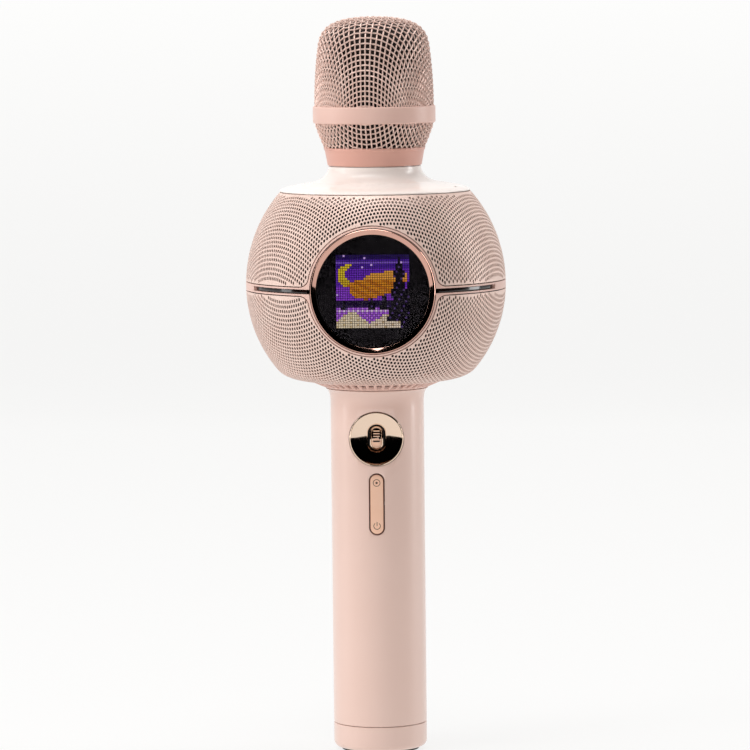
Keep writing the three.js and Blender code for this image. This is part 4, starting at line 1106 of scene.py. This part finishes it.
def press_half(name, side, turn_degrees, hole, edge_margin, node):
    profile = half_profile(side)
    half = UPPER if side > 0 else LOWER
    sheet_radius = (BALL_R + half) / 2
    outer = sheet_radius * math.sqrt(2 * (1 - SHEET_EDGE / half))
    steps = np.hypot(*np.diff(profile, axis=0).T)
    rings = (profile[1:, 0] + profile[:-1, 0]) / 2
    flat = np.sqrt(outer**2 - 2 * np.concatenate([[0], np.cumsum(steps * rings)]))
    inner = flat[-1]
    piece = grow(
        name, sheet_tree, Pitch=1.6 * MM, Hole_Radius=hole * MM, Columns=97, Rows=113,
        Turn=math.radians(turn_degrees), Inner_Radius=inner * MM, Outer_Radius=outer * MM,
        Sheet_Radius=sheet_radius * MM, Ball_Radius=BALL_R * MM, Half_Height=half * MM,
        Plain_Eye=26.45 * MM, Plain_Belt=2.8 * MM, Plain_Edge=edge_margin * MM,
    )
    points = np.zeros(len(piece.data.vertices) * 3)
    piece.data.vertices.foreach_get("co", points)
    points = points.reshape(-1, 3) / MM
    far = np.hypot(points[:, 0], points[:, 1])
    way = points[:, :2] / far[:, None]
    outside = (far < inner) | (far > outer)
    far = np.clip(far, inner, outer)
    radius = np.interp(far, flat[::-1], profile[::-1, 0])
    z = np.interp(far, flat[::-1], profile[::-1, 1])
    x, y = (radius[:, None] * way).T
    front = y < 0
    new_x, new_z, moved = push_out_of_eye(x, z)
    moved &= front
    x, z = np.where(moved, new_x, x), np.where(moved, new_z, z)
    y = np.where(moved, -np.sqrt(np.clip(ball_at(z) ** 2 - x**2, 0, None)), y)
    outside |= moved
    placed = np.stack([x, y, z + BALL_Z], 1) * MM
    piece.data.vertices.foreach_set("co", placed.ravel())

    shell = bmesh.new()
    shell.from_mesh(piece.data)
    shell.verts.ensure_lookup_table()
    lost = [f for f in shell.faces if all(outside[v.index] for v in f.verts)]
    bmesh.ops.delete(shell, geom=lost, context="FACES")
    bmesh.ops.remove_doubles(shell, verts=shell.verts, dist=0.02 * MM)
    bmesh.ops.dissolve_degenerate(shell, edges=shell.edges, dist=0.01 * MM)
    bmesh.ops.recalc_face_normals(shell, faces=shell.faces)
    probe = max(shell.faces, key=lambda f: f.calc_area())
    if probe.normal.dot(probe.calc_center_median() - Vector((0, 0, belt_z))) < 0:
        bmesh.ops.reverse_faces(shell, faces=shell.faces)
    shell.to_mesh(piece.data)
    shell.free()
    wall = piece.modifiers.new("wall", "SOLIDIFY")
    wall.thickness, wall.offset = SHEET_WALL * MM, -1
    smooth(bake(piece), 40)
    triangles = sum(len(p.vertices) - 2 for p in piece.data.polygons)
    print(name, "sheet", round(inner, 1), "to", round(outer, 1), "mm,", triangles, "triangles")
    return fit(piece, BODY, "grille_pink", node)


press_half("upper_grille_punched", 1, 8.5, 0.61, 1.0, "upper_grille")
press_half("lower_grille_punched", -1, 16.5, 0.61, 1.0, "lower_grille")

# %% [markdown]
# ## Belt and light bars
#
# The belt is a moulded ring that opens in front into the round surround of the display. It is cut
# from a turned shell of the ball: first to its outline, then bored for the display, then slotted
# for the light bars. A small bevel gives the two lips of the slot their bright lines.

# %% Belt


def eye_outline(margin, reach=57.0):
    ring, half, fillet, centre_x, touch = eye_limits(margin)

    def arc(cx, cz, r, start, end, steps):
        return [(cx + r * math.cos(a), cz + r * math.sin(a)) for a in np.linspace(start, end, steps)]

    quarter = [(reach, half), *arc(centre_x, half + fillet, fillet, -math.pi / 2, -math.pi + touch, 9)]
    quarter += arc(0, 0, ring, touch, math.pi / 2, 40)[1:]
    upper = quarter + [(-x, z) for x, z in quarter[-2::-1]]
    return np.array(upper + [(-x, -z) for x, z in upper])


def sector(name, section, start, end, steps=96):
    """Sweeps an (r, z) section round the front of the ball between two angles in degrees."""
    rings = []
    for degrees in np.linspace(start, end, steps):
        angle = math.radians(degrees)
        rings.append([(r * math.sin(angle), -r * math.cos(angle), z + BALL_Z) for r, z in section])
    return loft(name, np.array(rings) * MM)


SLOT_END = 67.0
SLOT = 0.925


def belt():
    zone = mm(ring_radius) + 3
    outer_z = np.linspace(-zone, zone, 41)
    outer = [(float(ball_at(z)), z + BALL_Z) for z in outer_z]
    inner = [(float(ball_at(z)) - 2.7, z + BALL_Z) for z in outer_z[::-1]]
    shell = turned("belt_moulded", outer + inner, 256)
    outline = eye_outline(0)
    cutter = prism("belt_outline", outline, -60, 0.5, BALL_Z)
    block = np.array([(57, BELT), (-57, BELT), (-57, -BELT), (57, -BELT)])
    carve(cutter, prism("belt_back", block, 0.3, 60, BALL_Z), "UNION")
    carve(shell, cutter, "INTERSECT")
    bore = unit_circle(128) * (mm(ring_radius) + 0.3)
    carve(shell, prism("display_bore", bore, -60, 0, BALL_Z))
    section = [(48.2, -SLOT), (53.5, -SLOT), (53.5, SLOT), (48.2, SLOT)]
    carve(shell, sector("slot", section, -SLOT_END, SLOT_END))
    return fit(soften(shell, 0.16), BODY, "trim_pink", "belt_trim")


def light_bars():
    section = rounded([(49.3, -0.82), (50.8, -0.82), (50.8, 0.82), (49.3, 0.82)], 0.25)
    start = math.degrees(math.asin((mm(ring_radius) + 1.3) / 50.8))
    for name, side in (("light_bar_right", 1), ("light_bar_left", -1)):
        bar = sector(name + "_acrylic", section, side * start, side * (SLOT_END - 0.1), 48)
        fit(bar, BODY, "smoked_bar", name)


belt()
light_bars()

# %% [markdown]
# ## Vent ring
#
# Between the grip and the ball a short cone lets the loudspeaker's air out. It is an inner and an
# outer ring joined by 48 ribs, like the spokes of a wheel. One rib is a rounded bar laid along the
# slope of the cone, and a tree places it round the axis.

# %% Vent ring and its ribs
RIBS = 48


def vent_rib_tree():
    tree, size = open_tree(
        "vent_ribs", Count=48, Inner_Radius=0.021, Outer_Radius=0.027, Foot=0.146, Rise=0.003,
        Width=0.0017, Thickness=0.0014,
    )
    start = add(tree, "ShaderNodeCombineXYZ", X=size["Inner Radius"], Z=size["Foot"]).outputs[0]
    end = add(
        tree, "ShaderNodeCombineXYZ", X=size["Outer Radius"],
        Z=calc(tree, "ADD", size["Foot"], size["Rise"]),
    ).outputs[0]
    line = add(tree, "GeometryNodeCurvePrimitiveLine", Start=start, End=end).outputs[0]
    bar = add(
        tree, "GeometryNodeCurvePrimitiveQuadrilateral", Width=size["Thickness"], Height=size["Width"]
    ).outputs[0]
    section = add(
        tree, "GeometryNodeFilletCurve", Curve=bar, Radius=calc(tree, "MULTIPLY", size["Thickness"], 0.35)
    )
    section.mode = "POLY"
    section.inputs["Count"].default_value = 3
    rib = add(tree, "GeometryNodeCurveToMesh", Curve=line, in1=section.outputs[0])
    rib.inputs["Fill Caps"].default_value = True
    index = add(tree, "GeometryNodeInputIndex").outputs[0]
    angle = calc(tree, "DIVIDE", calc(tree, "MULTIPLY", index, 2 * math.pi), size["Count"])
    rotation = add(tree, "FunctionNodeAxisAngleToRotation", Axis=(0, 0, 1), Angle=angle).outputs[0]
    hub = add(tree, "GeometryNodeMeshLine", Count=size["Count"], Offset=(0, 0, 0)).outputs[0]
    placed = add(
        tree, "GeometryNodeInstanceOnPoints", Points=hub, Instance=rib.outputs[0], Rotation=rotation
    ).outputs[0]
    return close_tree(tree, placed, FINISHES["trim_pink"])


def vent_ring():
    bottom, top = mm(low("vent_ring").z), mm(high("vent_ring").z)
    outer, inner = mm(half_width("vent_ring")), mm(flare_radius)
    rise = 3.0
    slope = rise / (outer - inner)
    r1, r2 = inner + 1.2, outer - 1.2
    foot1, foot2 = bottom + 1.2 * slope, bottom + (r2 - inner) * slope
    bore = inner - 2.6
    hub = rounded(
        [(bore, bottom), (inner, bottom, 0.3), (r1, foot1), (r1, foot1 + 1.5), (bore, bottom + 2.2)], 0.2
    )
    rim = rounded(
        [(r2, foot2), (outer, bottom + rise, 0.3), (outer, top), (outer - 1.4, top), (r2, foot2 + 1.5)], 0.2
    )
    fit(turned("vent_hub", hub), BODY, "trim_pink", "vent_ring")
    fit(turned("vent_rim", rim), BODY, "trim_pink")
    ribs = grow(
        "vent_ribs", vent_rib_tree(), Count=RIBS, Inner_Radius=(r1 - 0.3) * MM,
        Outer_Radius=(r2 + 0.3) * MM, Foot=(bottom + 0.9 * slope + 0.72) * MM,
        Rise=(r2 - r1 + 0.6) * slope * MM, Width=1.35 * MM, Thickness=1.3 * MM,
    )
    fit(clean(ribs), BODY, "trim_pink")


vent_ring()

# %% [markdown]
# ## Display
#
# A plated surround slopes in to a round acrylic window with a polished edge. Behind the window a
# square board carries 32 by 32 light cells. The picture is worked out cell by cell from simple
# shapes: a crescent moon, a sunset cloud, dunes and pines under a violet sky. Each cell's colour
# is an attribute on its point, and the tree that places the cells carries it along.

# %% Surround and window
DISPLAY_AT = (0, 0, BALL_Z)
SURROUND_R = mm(ring_radius)
SURROUND_FRONT = mm(ring_front)
WINDOW_R = mm(lens_radius)
WINDOW_FRONT, WINDOW_BACK = mm(lens_front), mm(lens_back)


def display_surround():
    outline = rounded(
        [
            (WINDOW_R + 0.2, SURROUND_FRONT + 0.95, 0.1), (SURROUND_R - 0.75, SURROUND_FRONT + 0.1, 0.3),
            (SURROUND_R - 0.3, SURROUND_FRONT, 0.15), (SURROUND_R, SURROUND_FRONT + 0.35, 0.15),
            (SURROUND_R, WINDOW_BACK), (WINDOW_R + 0.2, WINDOW_BACK),
        ],
        0.1,
    )
    piece = turned("display_surround_plated", outline, 192, "Y", DISPLAY_AT)
    return fit(piece, BODY, "rose_mirror", "display_bezel", finish=pink_mirror)


def display_window():
    edge = WINDOW_R - 0.1
    outline = rounded(
        [
            (0, WINDOW_FRONT, 0), (WINDOW_R - 0.7, WINDOW_FRONT, 0.1), (edge, WINDOW_FRONT + 0.5, 0.1),
            (edge, WINDOW_BACK), (0, WINDOW_BACK, 0),
        ],
        0.05,
    )
    piece = turned("display_window_acrylic", outline, 192, "Y", DISPLAY_AT)
    return fit(piece, BODY, "lens_black", "display_lens")


display_surround()
display_window()

# %% Picture, worked out cell by cell
CELLS = 32
CELL_PITCH = 0.9
PANEL_FRONT = mm(low("led_panel").y)


def near(x, y, cx, cy, rx, ry):
    return ((x - cx) / rx) ** 2 + ((y - cy) / ry) ** 2 < 1


def pine(x, y, at, foot, tall, half):
    """A pine of stacked skirts: its outline steps in three times on the way up."""
    up = (y - foot) / tall
    if not 0 <= up < 1:
        return False
    skirt = (1 - up) * 0.75 + 0.25 * (1 - (up * 3) % 1)
    return abs(x - at) < half * skirt


def cell_colour(x, y):
    """Colour of a cell, counted from the lower left."""
    twinkle = (x * 37 + y * 91 + x * y * 13) % 47
    colour = "#22085A" if y > 29 else "#4A1C9E" if y > 25 else "#6A2CBE" if y > 17 else "#8A3BD0"
    if y == 28:
        colour = "#7E58C8"
    if y > 11 and twinkle == 5:
        colour = "#D9B8FF"
    if near(x, y, 5.2, 22.3, 5.2, 4.9) and not near(x, y, 7.6, 23.0, 4.0, 3.6):
        colour = "#E6CF2E" if y > 20 else "#D9B824"
    cloud = (
        near(x, y, 12.5, 16.5, 7.2, 4.6) or near(x, y, 18.5, 18.6, 7.5, 5.2)
        or near(x, y, 24.5, 21.5, 6.5, 3.2) or near(x, y, 8.0, 18.2, 3.4, 1.6)
    )
    if cloud:
        colour = "#E2941E" if (x + 2 * y) % 7 < 4 else "#C9781A"
        if y > 20:
            colour = "#F0AE45"
        if y < 13:
            colour = "#A85A18"
    if y < 12:
        colour = "#1C0A38" if (y > 9 or (x * 7 + y * 3) % 5 == 0) else "#2A104E"
    if y < 9:
        colour = "#C07BEA" if (x + y) % 2 else "#9A4CD6"
    if y == 7:
        colour = "#F1DDF8" if x % 2 else "#C48AE8"
    if y < 7 and abs(x - 6.2) < (7 - y) * 1.35 + 0.6:
        colour = "#F1E6C0" if (x * 5 + y * 3) % 6 else "#DCC893"
    if y < 6 and abs(x - 22.0) < (6 - y) * 1.7 + 0.5:
        colour = "#EFE2C4" if (x * 3 + y * 5) % 7 else "#CDB68A"
    trees = (
        pine(x, y, 27.0, 3, 28, 5.6) or pine(x, y, 20.6, 8, 7, 2.2) or pine(x, y, 15.0, 8, 5, 1.6)
        or pine(x, y, 3.0, 8, 4, 1.5) or pine(x, y, 31.0, 0, 20, 4.0)
    )
    if trees:
        colour = "#0A0612" if (x * 11 + y * 5) % 7 else "#4E3A78"
    return colour


def light_cell_tree(finish):
    tree, size = open_tree("light_cells", Cell=0.0007, Height=0.00014)
    source = [n for n in tree.nodes if n.bl_idname == "NodeGroupInput"][0].outputs["Geometry"]
    size_vector = add(
        tree, "ShaderNodeCombineXYZ", X=size["Cell"], Y=size["Height"], Z=size["Cell"]
    ).outputs[0]
    block = add(tree, "GeometryNodeMeshCube", Size=size_vector).outputs[0]
    place = add(tree, "GeometryNodeInputPosition").outputs[0]
    depth = add(tree, "ShaderNodeSeparateXYZ", Vector=place).outputs["Y"]
    shrink = add(tree, "ShaderNodeVectorMath", {"operation": "MULTIPLY"}, in0=place, in1=(0.84, 1, 0.84))
    cell = add(
        tree, "GeometryNodeSetPosition", Geometry=block, Position=shrink.outputs[0],
        Selection=calc(tree, "LESS_THAN", depth, 0.0),
    ).outputs[0]
    placed = add(tree, "GeometryNodeInstanceOnPoints", Points=source, Instance=cell).outputs[0]
    return close_tree(tree, placed, finish)


def lit_cell_finish():
    """Silicone-filled light cells: each glows in its own colour, a little brighter in its middle."""
    material, tree, shader = new_material("silicone_light_cell")
    own = add(tree, "ShaderNodeAttribute", {"attribute_name": "cell_colour"}).outputs["Color"]
    place = add(tree, "ShaderNodeTexCoord").outputs["Object"]
    grain = add(tree, "ShaderNodeTexNoise", Vector=place, Scale=1 / (0.6 * MM))
    glow = add(tree, "ShaderNodeMapRange", Value=grain.outputs["Fac"], To_Min=0.75, To_Max=1.35)
    tree.links.new(own, shader.inputs["Base Color"])
    tree.links.new(own, shader.inputs["Emission Color"])
    tree.links.new(glow.outputs["Result"], shader.inputs["Emission Strength"])
    shader.inputs["Roughness"].default_value = 0.45
    return material


def light_cells():
    index = np.arange(CELLS * CELLS)
    column, row = index % CELLS, index // CELLS
    middle = (CELLS - 1) / 2
    points = np.stack(
        [(column - middle) * CELL_PITCH, np.full(len(index), PANEL_FRONT - 0.05),
         (row - middle) * CELL_PITCH + BALL_Z], 1
    ) * MM
    mesh = bpy.data.meshes.new("cell_points")
    mesh.from_pydata(points.tolist(), [], [])
    colours = mesh.attributes.new("cell_colour", "FLOAT_COLOR", "POINT")
    picture = [cell_colour(x, y) for x, y in zip(column.tolist(), row.tolist())]
    for cell, colour in zip(colours.data, picture):
        cell.color = linear(colour)
    finish = lit_cell_finish()
    cells = grow("light_cells", light_cell_tree(finish), mesh, Cell=0.74 * MM, Height=0.16 * MM)
    fit(cells, BODY, "led_black", finish=finish)
    print(len(index), "cells,", len(set(picture)), "colours")


def panel_board():
    half = mm(half_width("led_panel"))
    corner = np.array(rounded([(half, half), (-half, half), (-half, -half), (half, -half)], 0.8))
    board = prism("light_panel_board", corner, PANEL_FRONT, PANEL_FRONT + 2, BALL_Z)
    return fit(board, BODY, "led_black", "led_panel")


def printed_mask():
    """The black print on the back of the window, with a square left clear for the picture."""
    reach = CELLS * CELL_PITCH / 2 + 0.5
    circle = unit_circle(160) * (WINDOW_R - 0.3)
    square = circle * (reach / np.abs(circle).max(axis=1))[:, None]
    front, back = WINDOW_BACK + 0.03, WINDOW_BACK + 0.12
    rings = [level_ring(square, front, BALL_Z), level_ring(circle, front, BALL_Z),
             level_ring(circle, back, BALL_Z), level_ring(square, back, BALL_Z)]
    mask = loft("window_printed_mask", rings, loop=True)
    return fit(mask, BODY, "led_black", finish=FINISHES["led_black"])


light_cells()
panel_board()
printed_mask()

# %% [markdown]
# ## Neck
#
# A low cone closes the ball and sweeps up into the neck, with the screw spigot for the head above
# it. It is one turned shell with a pinhole for the echo microphone in its shoulder.

# %% Neck
NECK_FOOT = mm(neck_bottom)
NECK_TOP = mm(low("head_collar").z) - 0.3
NECK_R = 18.6
PINHOLE_ANGLE = -20.7  # degrees round from the right-hand side


def neck():
    brim = float(ball_at(TOP_CUT))
    shoulder = NECK_FOOT + 3.6
    skirt = brim - 1.9
    spigot = NECK_R - 1.3
    top = NECK_TOP + 6.6
    sweep = curve(
        (NECK_R + 5.9, shoulder), (NECK_R + 0.4, shoulder + 1.8), (NECK_R, NECK_TOP - 0.3), steps=18
    )
    cone = curve(
        (brim - 0.1, NECK_FOOT + 0.45), (brim - 2.2, NECK_FOOT + 1.75), (brim - 3.5, NECK_FOOT + 2.0),
        (NECK_R + 6.4, shoulder - 0.06), steps=18,
    )
    outline = rounded(
        [
            (brim + 0.1, NECK_FOOT, 0.15), *((*p, 0) for p in cone), *((*p, 0) for p in sweep),
            (NECK_R - 0.1, NECK_TOP, 0.1), (spigot, NECK_TOP), (spigot, top, 0.4), (spigot - 2, top),
            (spigot - 2, NECK_TOP - 0.2), (NECK_R - 2, NECK_TOP - 0.2), (NECK_R - 2, shoulder + 0.6),
            (NECK_R + 4.2, shoulder - 1.9), (skirt - 2.4, NECK_FOOT + 0.1), (skirt - 1.8, NECK_FOOT - 1),
            (skirt - 1.8, NECK_FOOT - 4.5), (skirt, NECK_FOOT - 4.5), (skirt, NECK_FOOT),
        ],
        0.1,
    )
    shell = turned("neck_lacquered", outline, 192)
    angle, reach = math.radians(PINHOLE_ANGLE), brim - 3.55
    drill = [(0, NECK_FOOT - 3), (0.8, NECK_FOOT - 3), (0.8, NECK_FOOT + 9), (0, NECK_FOOT + 9)]
    hole = turned("pinhole", drill, 32, "Z", (reach * math.cos(angle), reach * math.sin(angle), 0))
    carve(shell, hole)
    return fit(smooth(shell), BODY, "casing_pearl", "neck_shell")


neck()

# %% [markdown]
# ## Head
#
# The head unscrews from the neck, so all its pieces ride on its own body. The collar and the band
# are turned rings. The collar flares a little and ends in a thin rolled lip, and the band hides the
# cut ends of the two wire meshes.

# %% Collar and band
COLLAR = (mm(collar_bottom), mm(collar_top))
BAND = (mm(band_bottom), mm(band_top))
BAND_R = mm(band_radius)
COLLAR_R = mm(collar_radius)
COLLAR_BORE = 17.6


def collar():
    foot, top = COLLAR
    outline = rounded(
        [
            (COLLAR_BORE, foot), (COLLAR_R - 1.5, foot, 0.3), (COLLAR_R - 0.45, top - 1.5, 0.8),
            (COLLAR_R - 0.1, top - 1.0, 0.3), (COLLAR_R, top - 0.2, 0.3), (COLLAR_R - 0.7, top, 0.2),
            (COLLAR_BORE, top),
        ],
        0.25,
    )
    ring = turned("head_collar_painted", outline)
    return fit(ring, HEAD, "trim_pink", "head_collar", finish=deep_pink_paint)


def band():
    foot, top = BAND
    outline = rounded(
        [(BAND_R - 1.9, foot), (BAND_R, foot, 0.7), (BAND_R, top, 0.7), (BAND_R - 1.9, top)], 0.4, steps=6
    )
    return fit(turned("head_band_painted", outline), HEAD, "trim_pink", "grille_band")


collar()
band()

# %% [markdown]
# ## Woven wire
#
# Wire cloth can't stretch: over a dome its squares stay as long on each side and lean into
# diamonds instead, most of all halfway between the two directions of the weave. That is why the
# rows arch over the front and crowd into narrow slits at the corners. The cloth is laid as a net
# of knots. First it is marched: each new knot is one mesh from two knots before it. Then it is
# relaxed, because real wires are stiff and stop leaning when they touch.

# %% Surfaces that the cloth covers
MESH = 2.05  # from knot to knot
WIRE = 0.62  # wire diameter
LOCK = 1.2  # the narrowest that a diamond closes
WEAVE_TURN = math.radians(-7)  # which way the cloth's squares face
CROSSING = 0.47  # how far a wire steps out or in at a knot, in wire diameters


def dome_profile():
    """(radius, height) of the wire's middle line, from the pole down past the band."""
    foot = mm(low("grille_dome").z)
    inset = 0.62
    crown = curve((0, 35.7), (17.2, 35.7), (21.6, 31.5), (22.5, 23.8), steps=60)
    side = curve((22.5, 23.8), (24, 12.0), (24, 0), steps=40)[1:]
    line = np.array([*crown, *side, *[(24, -z) for z in range(2, 60, 2)]], float)
    slope = np.gradient(line, axis=0)
    slope /= np.linalg.norm(slope, axis=1)[:, None]
    line += inset * np.stack([slope[:, 1], -slope[:, 0]], 1)
    line[0, 0] = 0
    return line + [0, foot]


def basket_profile():
    """The lower basket's cloth was pressed over a bowl, and the bowl's bottom cut away."""
    bowl = curve((0, -13.0), (13.0, -13.0), (18.6, -7.0), (19.75, 0), steps=50)
    side = curve((19.75, 0), (22.3, 5.76), (23.35, 9.6), steps=30)[1:]
    return np.array([*bowl, *side, *[(23.35, 9.6 + z) for z in range(2, 60, 2)]]) + [0, COLLAR[1]]


def along_profile(profile):
    return np.concatenate([[0], np.cumsum(np.hypot(*np.diff(profile, axis=0).T))])


# %% March the net over one quarter


def march_net(profile, count):
    """A quarter of the net: knot (i, j) is one mesh from both (i-1, j) and (i, j-1)."""
    steps = along_profile(profile)
    knots = np.zeros((count + 1, count + 1, 3))
    place = np.zeros((count + 1, count + 1, 2))

    def at(along, turn):
        r = np.interp(along, steps, profile[:, 0])
        return np.array([r * math.cos(turn), r * math.sin(turn), np.interp(along, steps, profile[:, 1])])

    for k in range(count + 1):
        along = place[k - 1, 0, 0] if k else 0.0
        short, long = along, along + 2 * MESH
        for _ in range(30 if k else 0):
            along = (short + long) / 2
            if np.linalg.norm(at(along, 0) - knots[k - 1, 0]) < MESH:
                short = along
            else:
                long = along
        place[k, 0], place[0, k] = (along, 0), (along, math.pi / 2)
        knots[k, 0], knots[0, k] = at(along, 0), at(along, math.pi / 2)
    for total in range(2, 2 * count + 1):
        for i in range(max(1, total - count), min(count, total - 1) + 1):
            j = total - i
            a, b = knots[i - 1, j], knots[i, j - 1]
            guess = a + b - knots[i - 1, j - 1]
            further = max(place[i - 1, j, 0], place[i, j - 1, 0]) + MESH / 2
            spot = np.array([further, math.atan2(guess[1], guess[0])])

            def miss(along, turn):
                here = at(along, turn)
                return math.dist(here, a) - MESH, math.dist(here, b) - MESH

            if math.dist(a, b) > 0.02 * MESH:
                for _ in range(12):
                    e1, e2 = miss(*spot)
                    if max(abs(e1), abs(e2)) < 1e-4:
                        break
                    f1, f2 = miss(spot[0] + 1e-4, spot[1])
                    g1, g2 = miss(spot[0], spot[1] + 5e-6)
                    p, q, r, t = (f1 - e1) / 1e-4, (g1 - e1) / 5e-6, (f2 - e2) / 1e-4, (g2 - e2) / 5e-6
                    det = p * t - q * r
                    if abs(det) < 1e-6:
                        break
                    step = (e1 * t - e2 * q) / det, (e2 * p - e1 * r) / det
                    spot = spot - np.clip(step, (-1, -0.1), (1, 0.1))
            place[i, j], knots[i, j] = spot, at(*spot)
    return knots


def four_quarters(quarter):
    count = quarter.shape[0] - 1
    net = np.zeros((2 * count + 1, 2 * count + 1, 3))
    steps = np.arange(count + 1)
    for x in (1, -1):
        for y in (1, -1):
            net[count + x * steps[:, None], count + y * steps[None, :]] = quarter * [x, y, 1]
    return net


# %% Relax the net
STIFFNESS = 0.08  # how strongly a wire straightens itself


def relax_net(profile, net, rounds):
    """Evens the net out on its surface; returns its knots and the surface normals there."""
    steps = along_profile(profile)
    slope = np.gradient(profile, axis=0)
    slope /= np.linalg.norm(slope, axis=1)[:, None]
    size = net.shape[0]
    radius = np.hypot(net[..., 0], net[..., 1])
    distance = (radius[..., None] - profile[:, 0]) ** 2 + (net[..., 2, None] - profile[:, 1]) ** 2
    along = steps[distance.argmin(-1)]
    way = np.tile([1.0, 0.0], (size, size, 1))
    sides = [((1, 0), MESH, False), ((0, 1), MESH, False), ((1, 1), LOCK, True), ((1, -1), LOCK, True)]
    for _ in range(rounds):
        push, weight = np.zeros_like(net), np.zeros((size, size))
        for (di, dj), length, at_least in sides:
            first = (slice(0, size - di), slice(max(0, -dj), size - max(0, dj)))
            second = (slice(di, size), slice(max(0, dj), size + min(0, dj)))
            gap = net[second] - net[first]
            now = np.maximum(np.linalg.norm(gap, axis=-1), 1e-9)
            error = (now - length) / now
            if at_least:
                error = np.minimum(error, 0)
            step = gap * error[..., None] / 2
            push[first] += step
            push[second] -= step
            weight[first] += error != 0
            weight[second] += error != 0
        net = net + push / np.maximum(weight, 1)[..., None]
        for axis in (0, 1):
            bend = (np.roll(net, 1, axis) + np.roll(net, -1, axis)) / 2 - net
            bend[(0, -1), :] = 0
            bend[:, (0, -1)] = 0
            net = net + STIFFNESS * bend
        radius = np.hypot(net[..., 0], net[..., 1])[..., None]
        way = np.where(radius > 1e-6, net[..., :2] / np.maximum(radius, 1e-6), way)
        radius = radius[..., 0]
        for _ in range(2):
            off = [
                now - np.interp(along, steps, profile[:, k]) for k, now in enumerate((radius, net[..., 2]))
            ]
            lean = np.interp(along, steps, slope[:, 0]), np.interp(along, steps, slope[:, 1])
            along = np.clip(along + off[0] * lean[0] + off[1] * lean[1], 0, steps[-1])
        radius = np.interp(along, steps, profile[:, 0])[..., None]
        net = np.concatenate([radius * way, np.interp(along, steps, profile[:, 1])[..., None]], -1)
    lean = np.interp(along, steps, slope[:, 0]), np.interp(along, steps, slope[:, 1])
    normals = np.concatenate([-lean[1][..., None] * way, lean[0][..., None]], -1)
    return net, normals


# %% [markdown]
# Each wire passes over one knot and under the next, so its line steps out and in by half a wire.
# The lines become tubes in a tree, with a six-sided section: at this size more would not show.

# %% Wires from the net


def wire_tree():
    tree, size = open_tree("woven_wires", Wire=0.0006)
    source = [n for n in tree.nodes if n.bl_idname == "NodeGroupInput"][0].outputs["Geometry"]
    lines = add(tree, "GeometryNodeMeshToCurve", in0=source).outputs[0]
    half = calc(tree, "MULTIPLY", size["Wire"], 0.5)
    section = add(tree, "GeometryNodeCurvePrimitiveCircle", Resolution=6, Radius=half).outputs[0]
    tube = add(tree, "GeometryNodeCurveToMesh", in0=lines, in1=section)
    tube.inputs["Fill Caps"].default_value = True
    return close_tree(tree, tube.outputs[0], FINISHES["mesh_pink"])


woven_tree = wire_tree()


def woven_cloth(name, profile, count, rounds, lowest, highest, node):
    net, normals = relax_net(profile, four_quarters(march_net(profile, count)), rounds)
    kept = (net[..., 2] > lowest) & (net[..., 2] < highest)
    size = net.shape[0]
    points, edges = [], []
    for across in (0, 1):
        for line in range(size):
            last = None
            for k in range(size):
                i, j = (line, k) if across else (k, line)
                if not kept[i, j]:
                    last = None
                    continue
                side = 1 if (i + j + across) % 2 else -1
                points.append(net[i, j] + normals[i, j] * side * WIRE * CROSSING)
                if last is not None:
                    edges.append((last, len(points) - 1))
                last = len(points) - 1
    c, s = math.cos(WEAVE_TURN), math.sin(WEAVE_TURN)
    turned_points = np.array(points) @ np.array([[c, s, 0], [-s, c, 0], [0, 0, 1]])
    mesh = bpy.data.meshes.new(name)
    mesh.from_pydata((turned_points * MM).tolist(), edges, [])
    cloth = grow(name, woven_tree, mesh, Wire=WIRE * MM)
    triangles = sum(len(p.vertices) - 2 for p in cloth.data.polygons)
    print(name, len(edges), "wire steps,", triangles, "triangles")
    return fit(clean(cloth, 0.0002 * MM), HEAD, "mesh_pink", node)


woven_cloth("dome_wire_cloth", dome_profile(), 34, 1100, BAND[0] + 0.9, mm(dome_top), "grille_dome")
woven_cloth("basket_wire_cloth", basket_profile(), 24, 700, COLLAR[1] - 1.6, BAND[0] + 1.9, "grille_basket")

# %% [markdown]
# ## Windscreen
#
# Under the wire sits a cap of open-cell foam. It is soft, so its surface is uneven: a fine noise
# moves each point of a turned skin in or out by a fraction of a millimetre.

# %% Foam windscreen
PORE_DEPTH = 0.16


def soft_skin(piece):
    """Moves each point in or out a little, as open pores do."""
    for vertex in piece.data.vertices:
        depth = noise.noise(vertex.co * 900) * PORE_DEPTH + noise.noise(vertex.co * 2100) * 0.1
        vertex.co += vertex.normal * (depth - PORE_DEPTH) * MM
    smooth(piece, 60)


def windscreen():
    foot, top = mm(low("windscreen_foam").z), mm(high("windscreen_foam").z)
    radius = mm(half_width("windscreen_foam"))
    skirt = BAND_R - 1.9 - 0.35
    step = 0.8
    wall = [(skirt, z) for z in np.arange(foot, BAND[1], step)]
    wall += [(min(radius, skirt + 0.2), z) for z in np.arange(BAND[1], BAND[1] + 12, step)]
    crown = curve(
        (radius - 0.2, BAND[1] + 12), (radius - 0.4, top - 4.5), (radius - 5, top), (0, top), steps=44
    )
    hollow = curve((radius - 9, top - 4), (radius - 4, top - 5), (radius - 4, top - 12), steps=8)
    outline = [*wall, *crown, (0, top - 4), *hollow, (skirt - 3.6, foot)]
    piece = turned("foam_windscreen", outline, 150)
    soft_skin(piece)
    return fit(piece, HEAD, "foam_dark", "windscreen_foam")


def basket_lining():
    """A thin sleeve of the same foam behind the lower cloth, clear of the capsule."""
    line = basket_profile()
    line = line[(line[:, 1] > COLLAR[1] + 0.3) & (line[:, 1] < BAND[0] + 0.6)]
    outer = [(r - 1.5, z) for r, z in line]
    inner = [(r - 3.2, z) for r, z in line[::-1]]
    piece = turned("foam_basket_lining", [*outer, *inner], 120)
    soft_skin(piece)
    return fit(piece, HEAD, "foam_dark")


windscreen()
basket_lining()
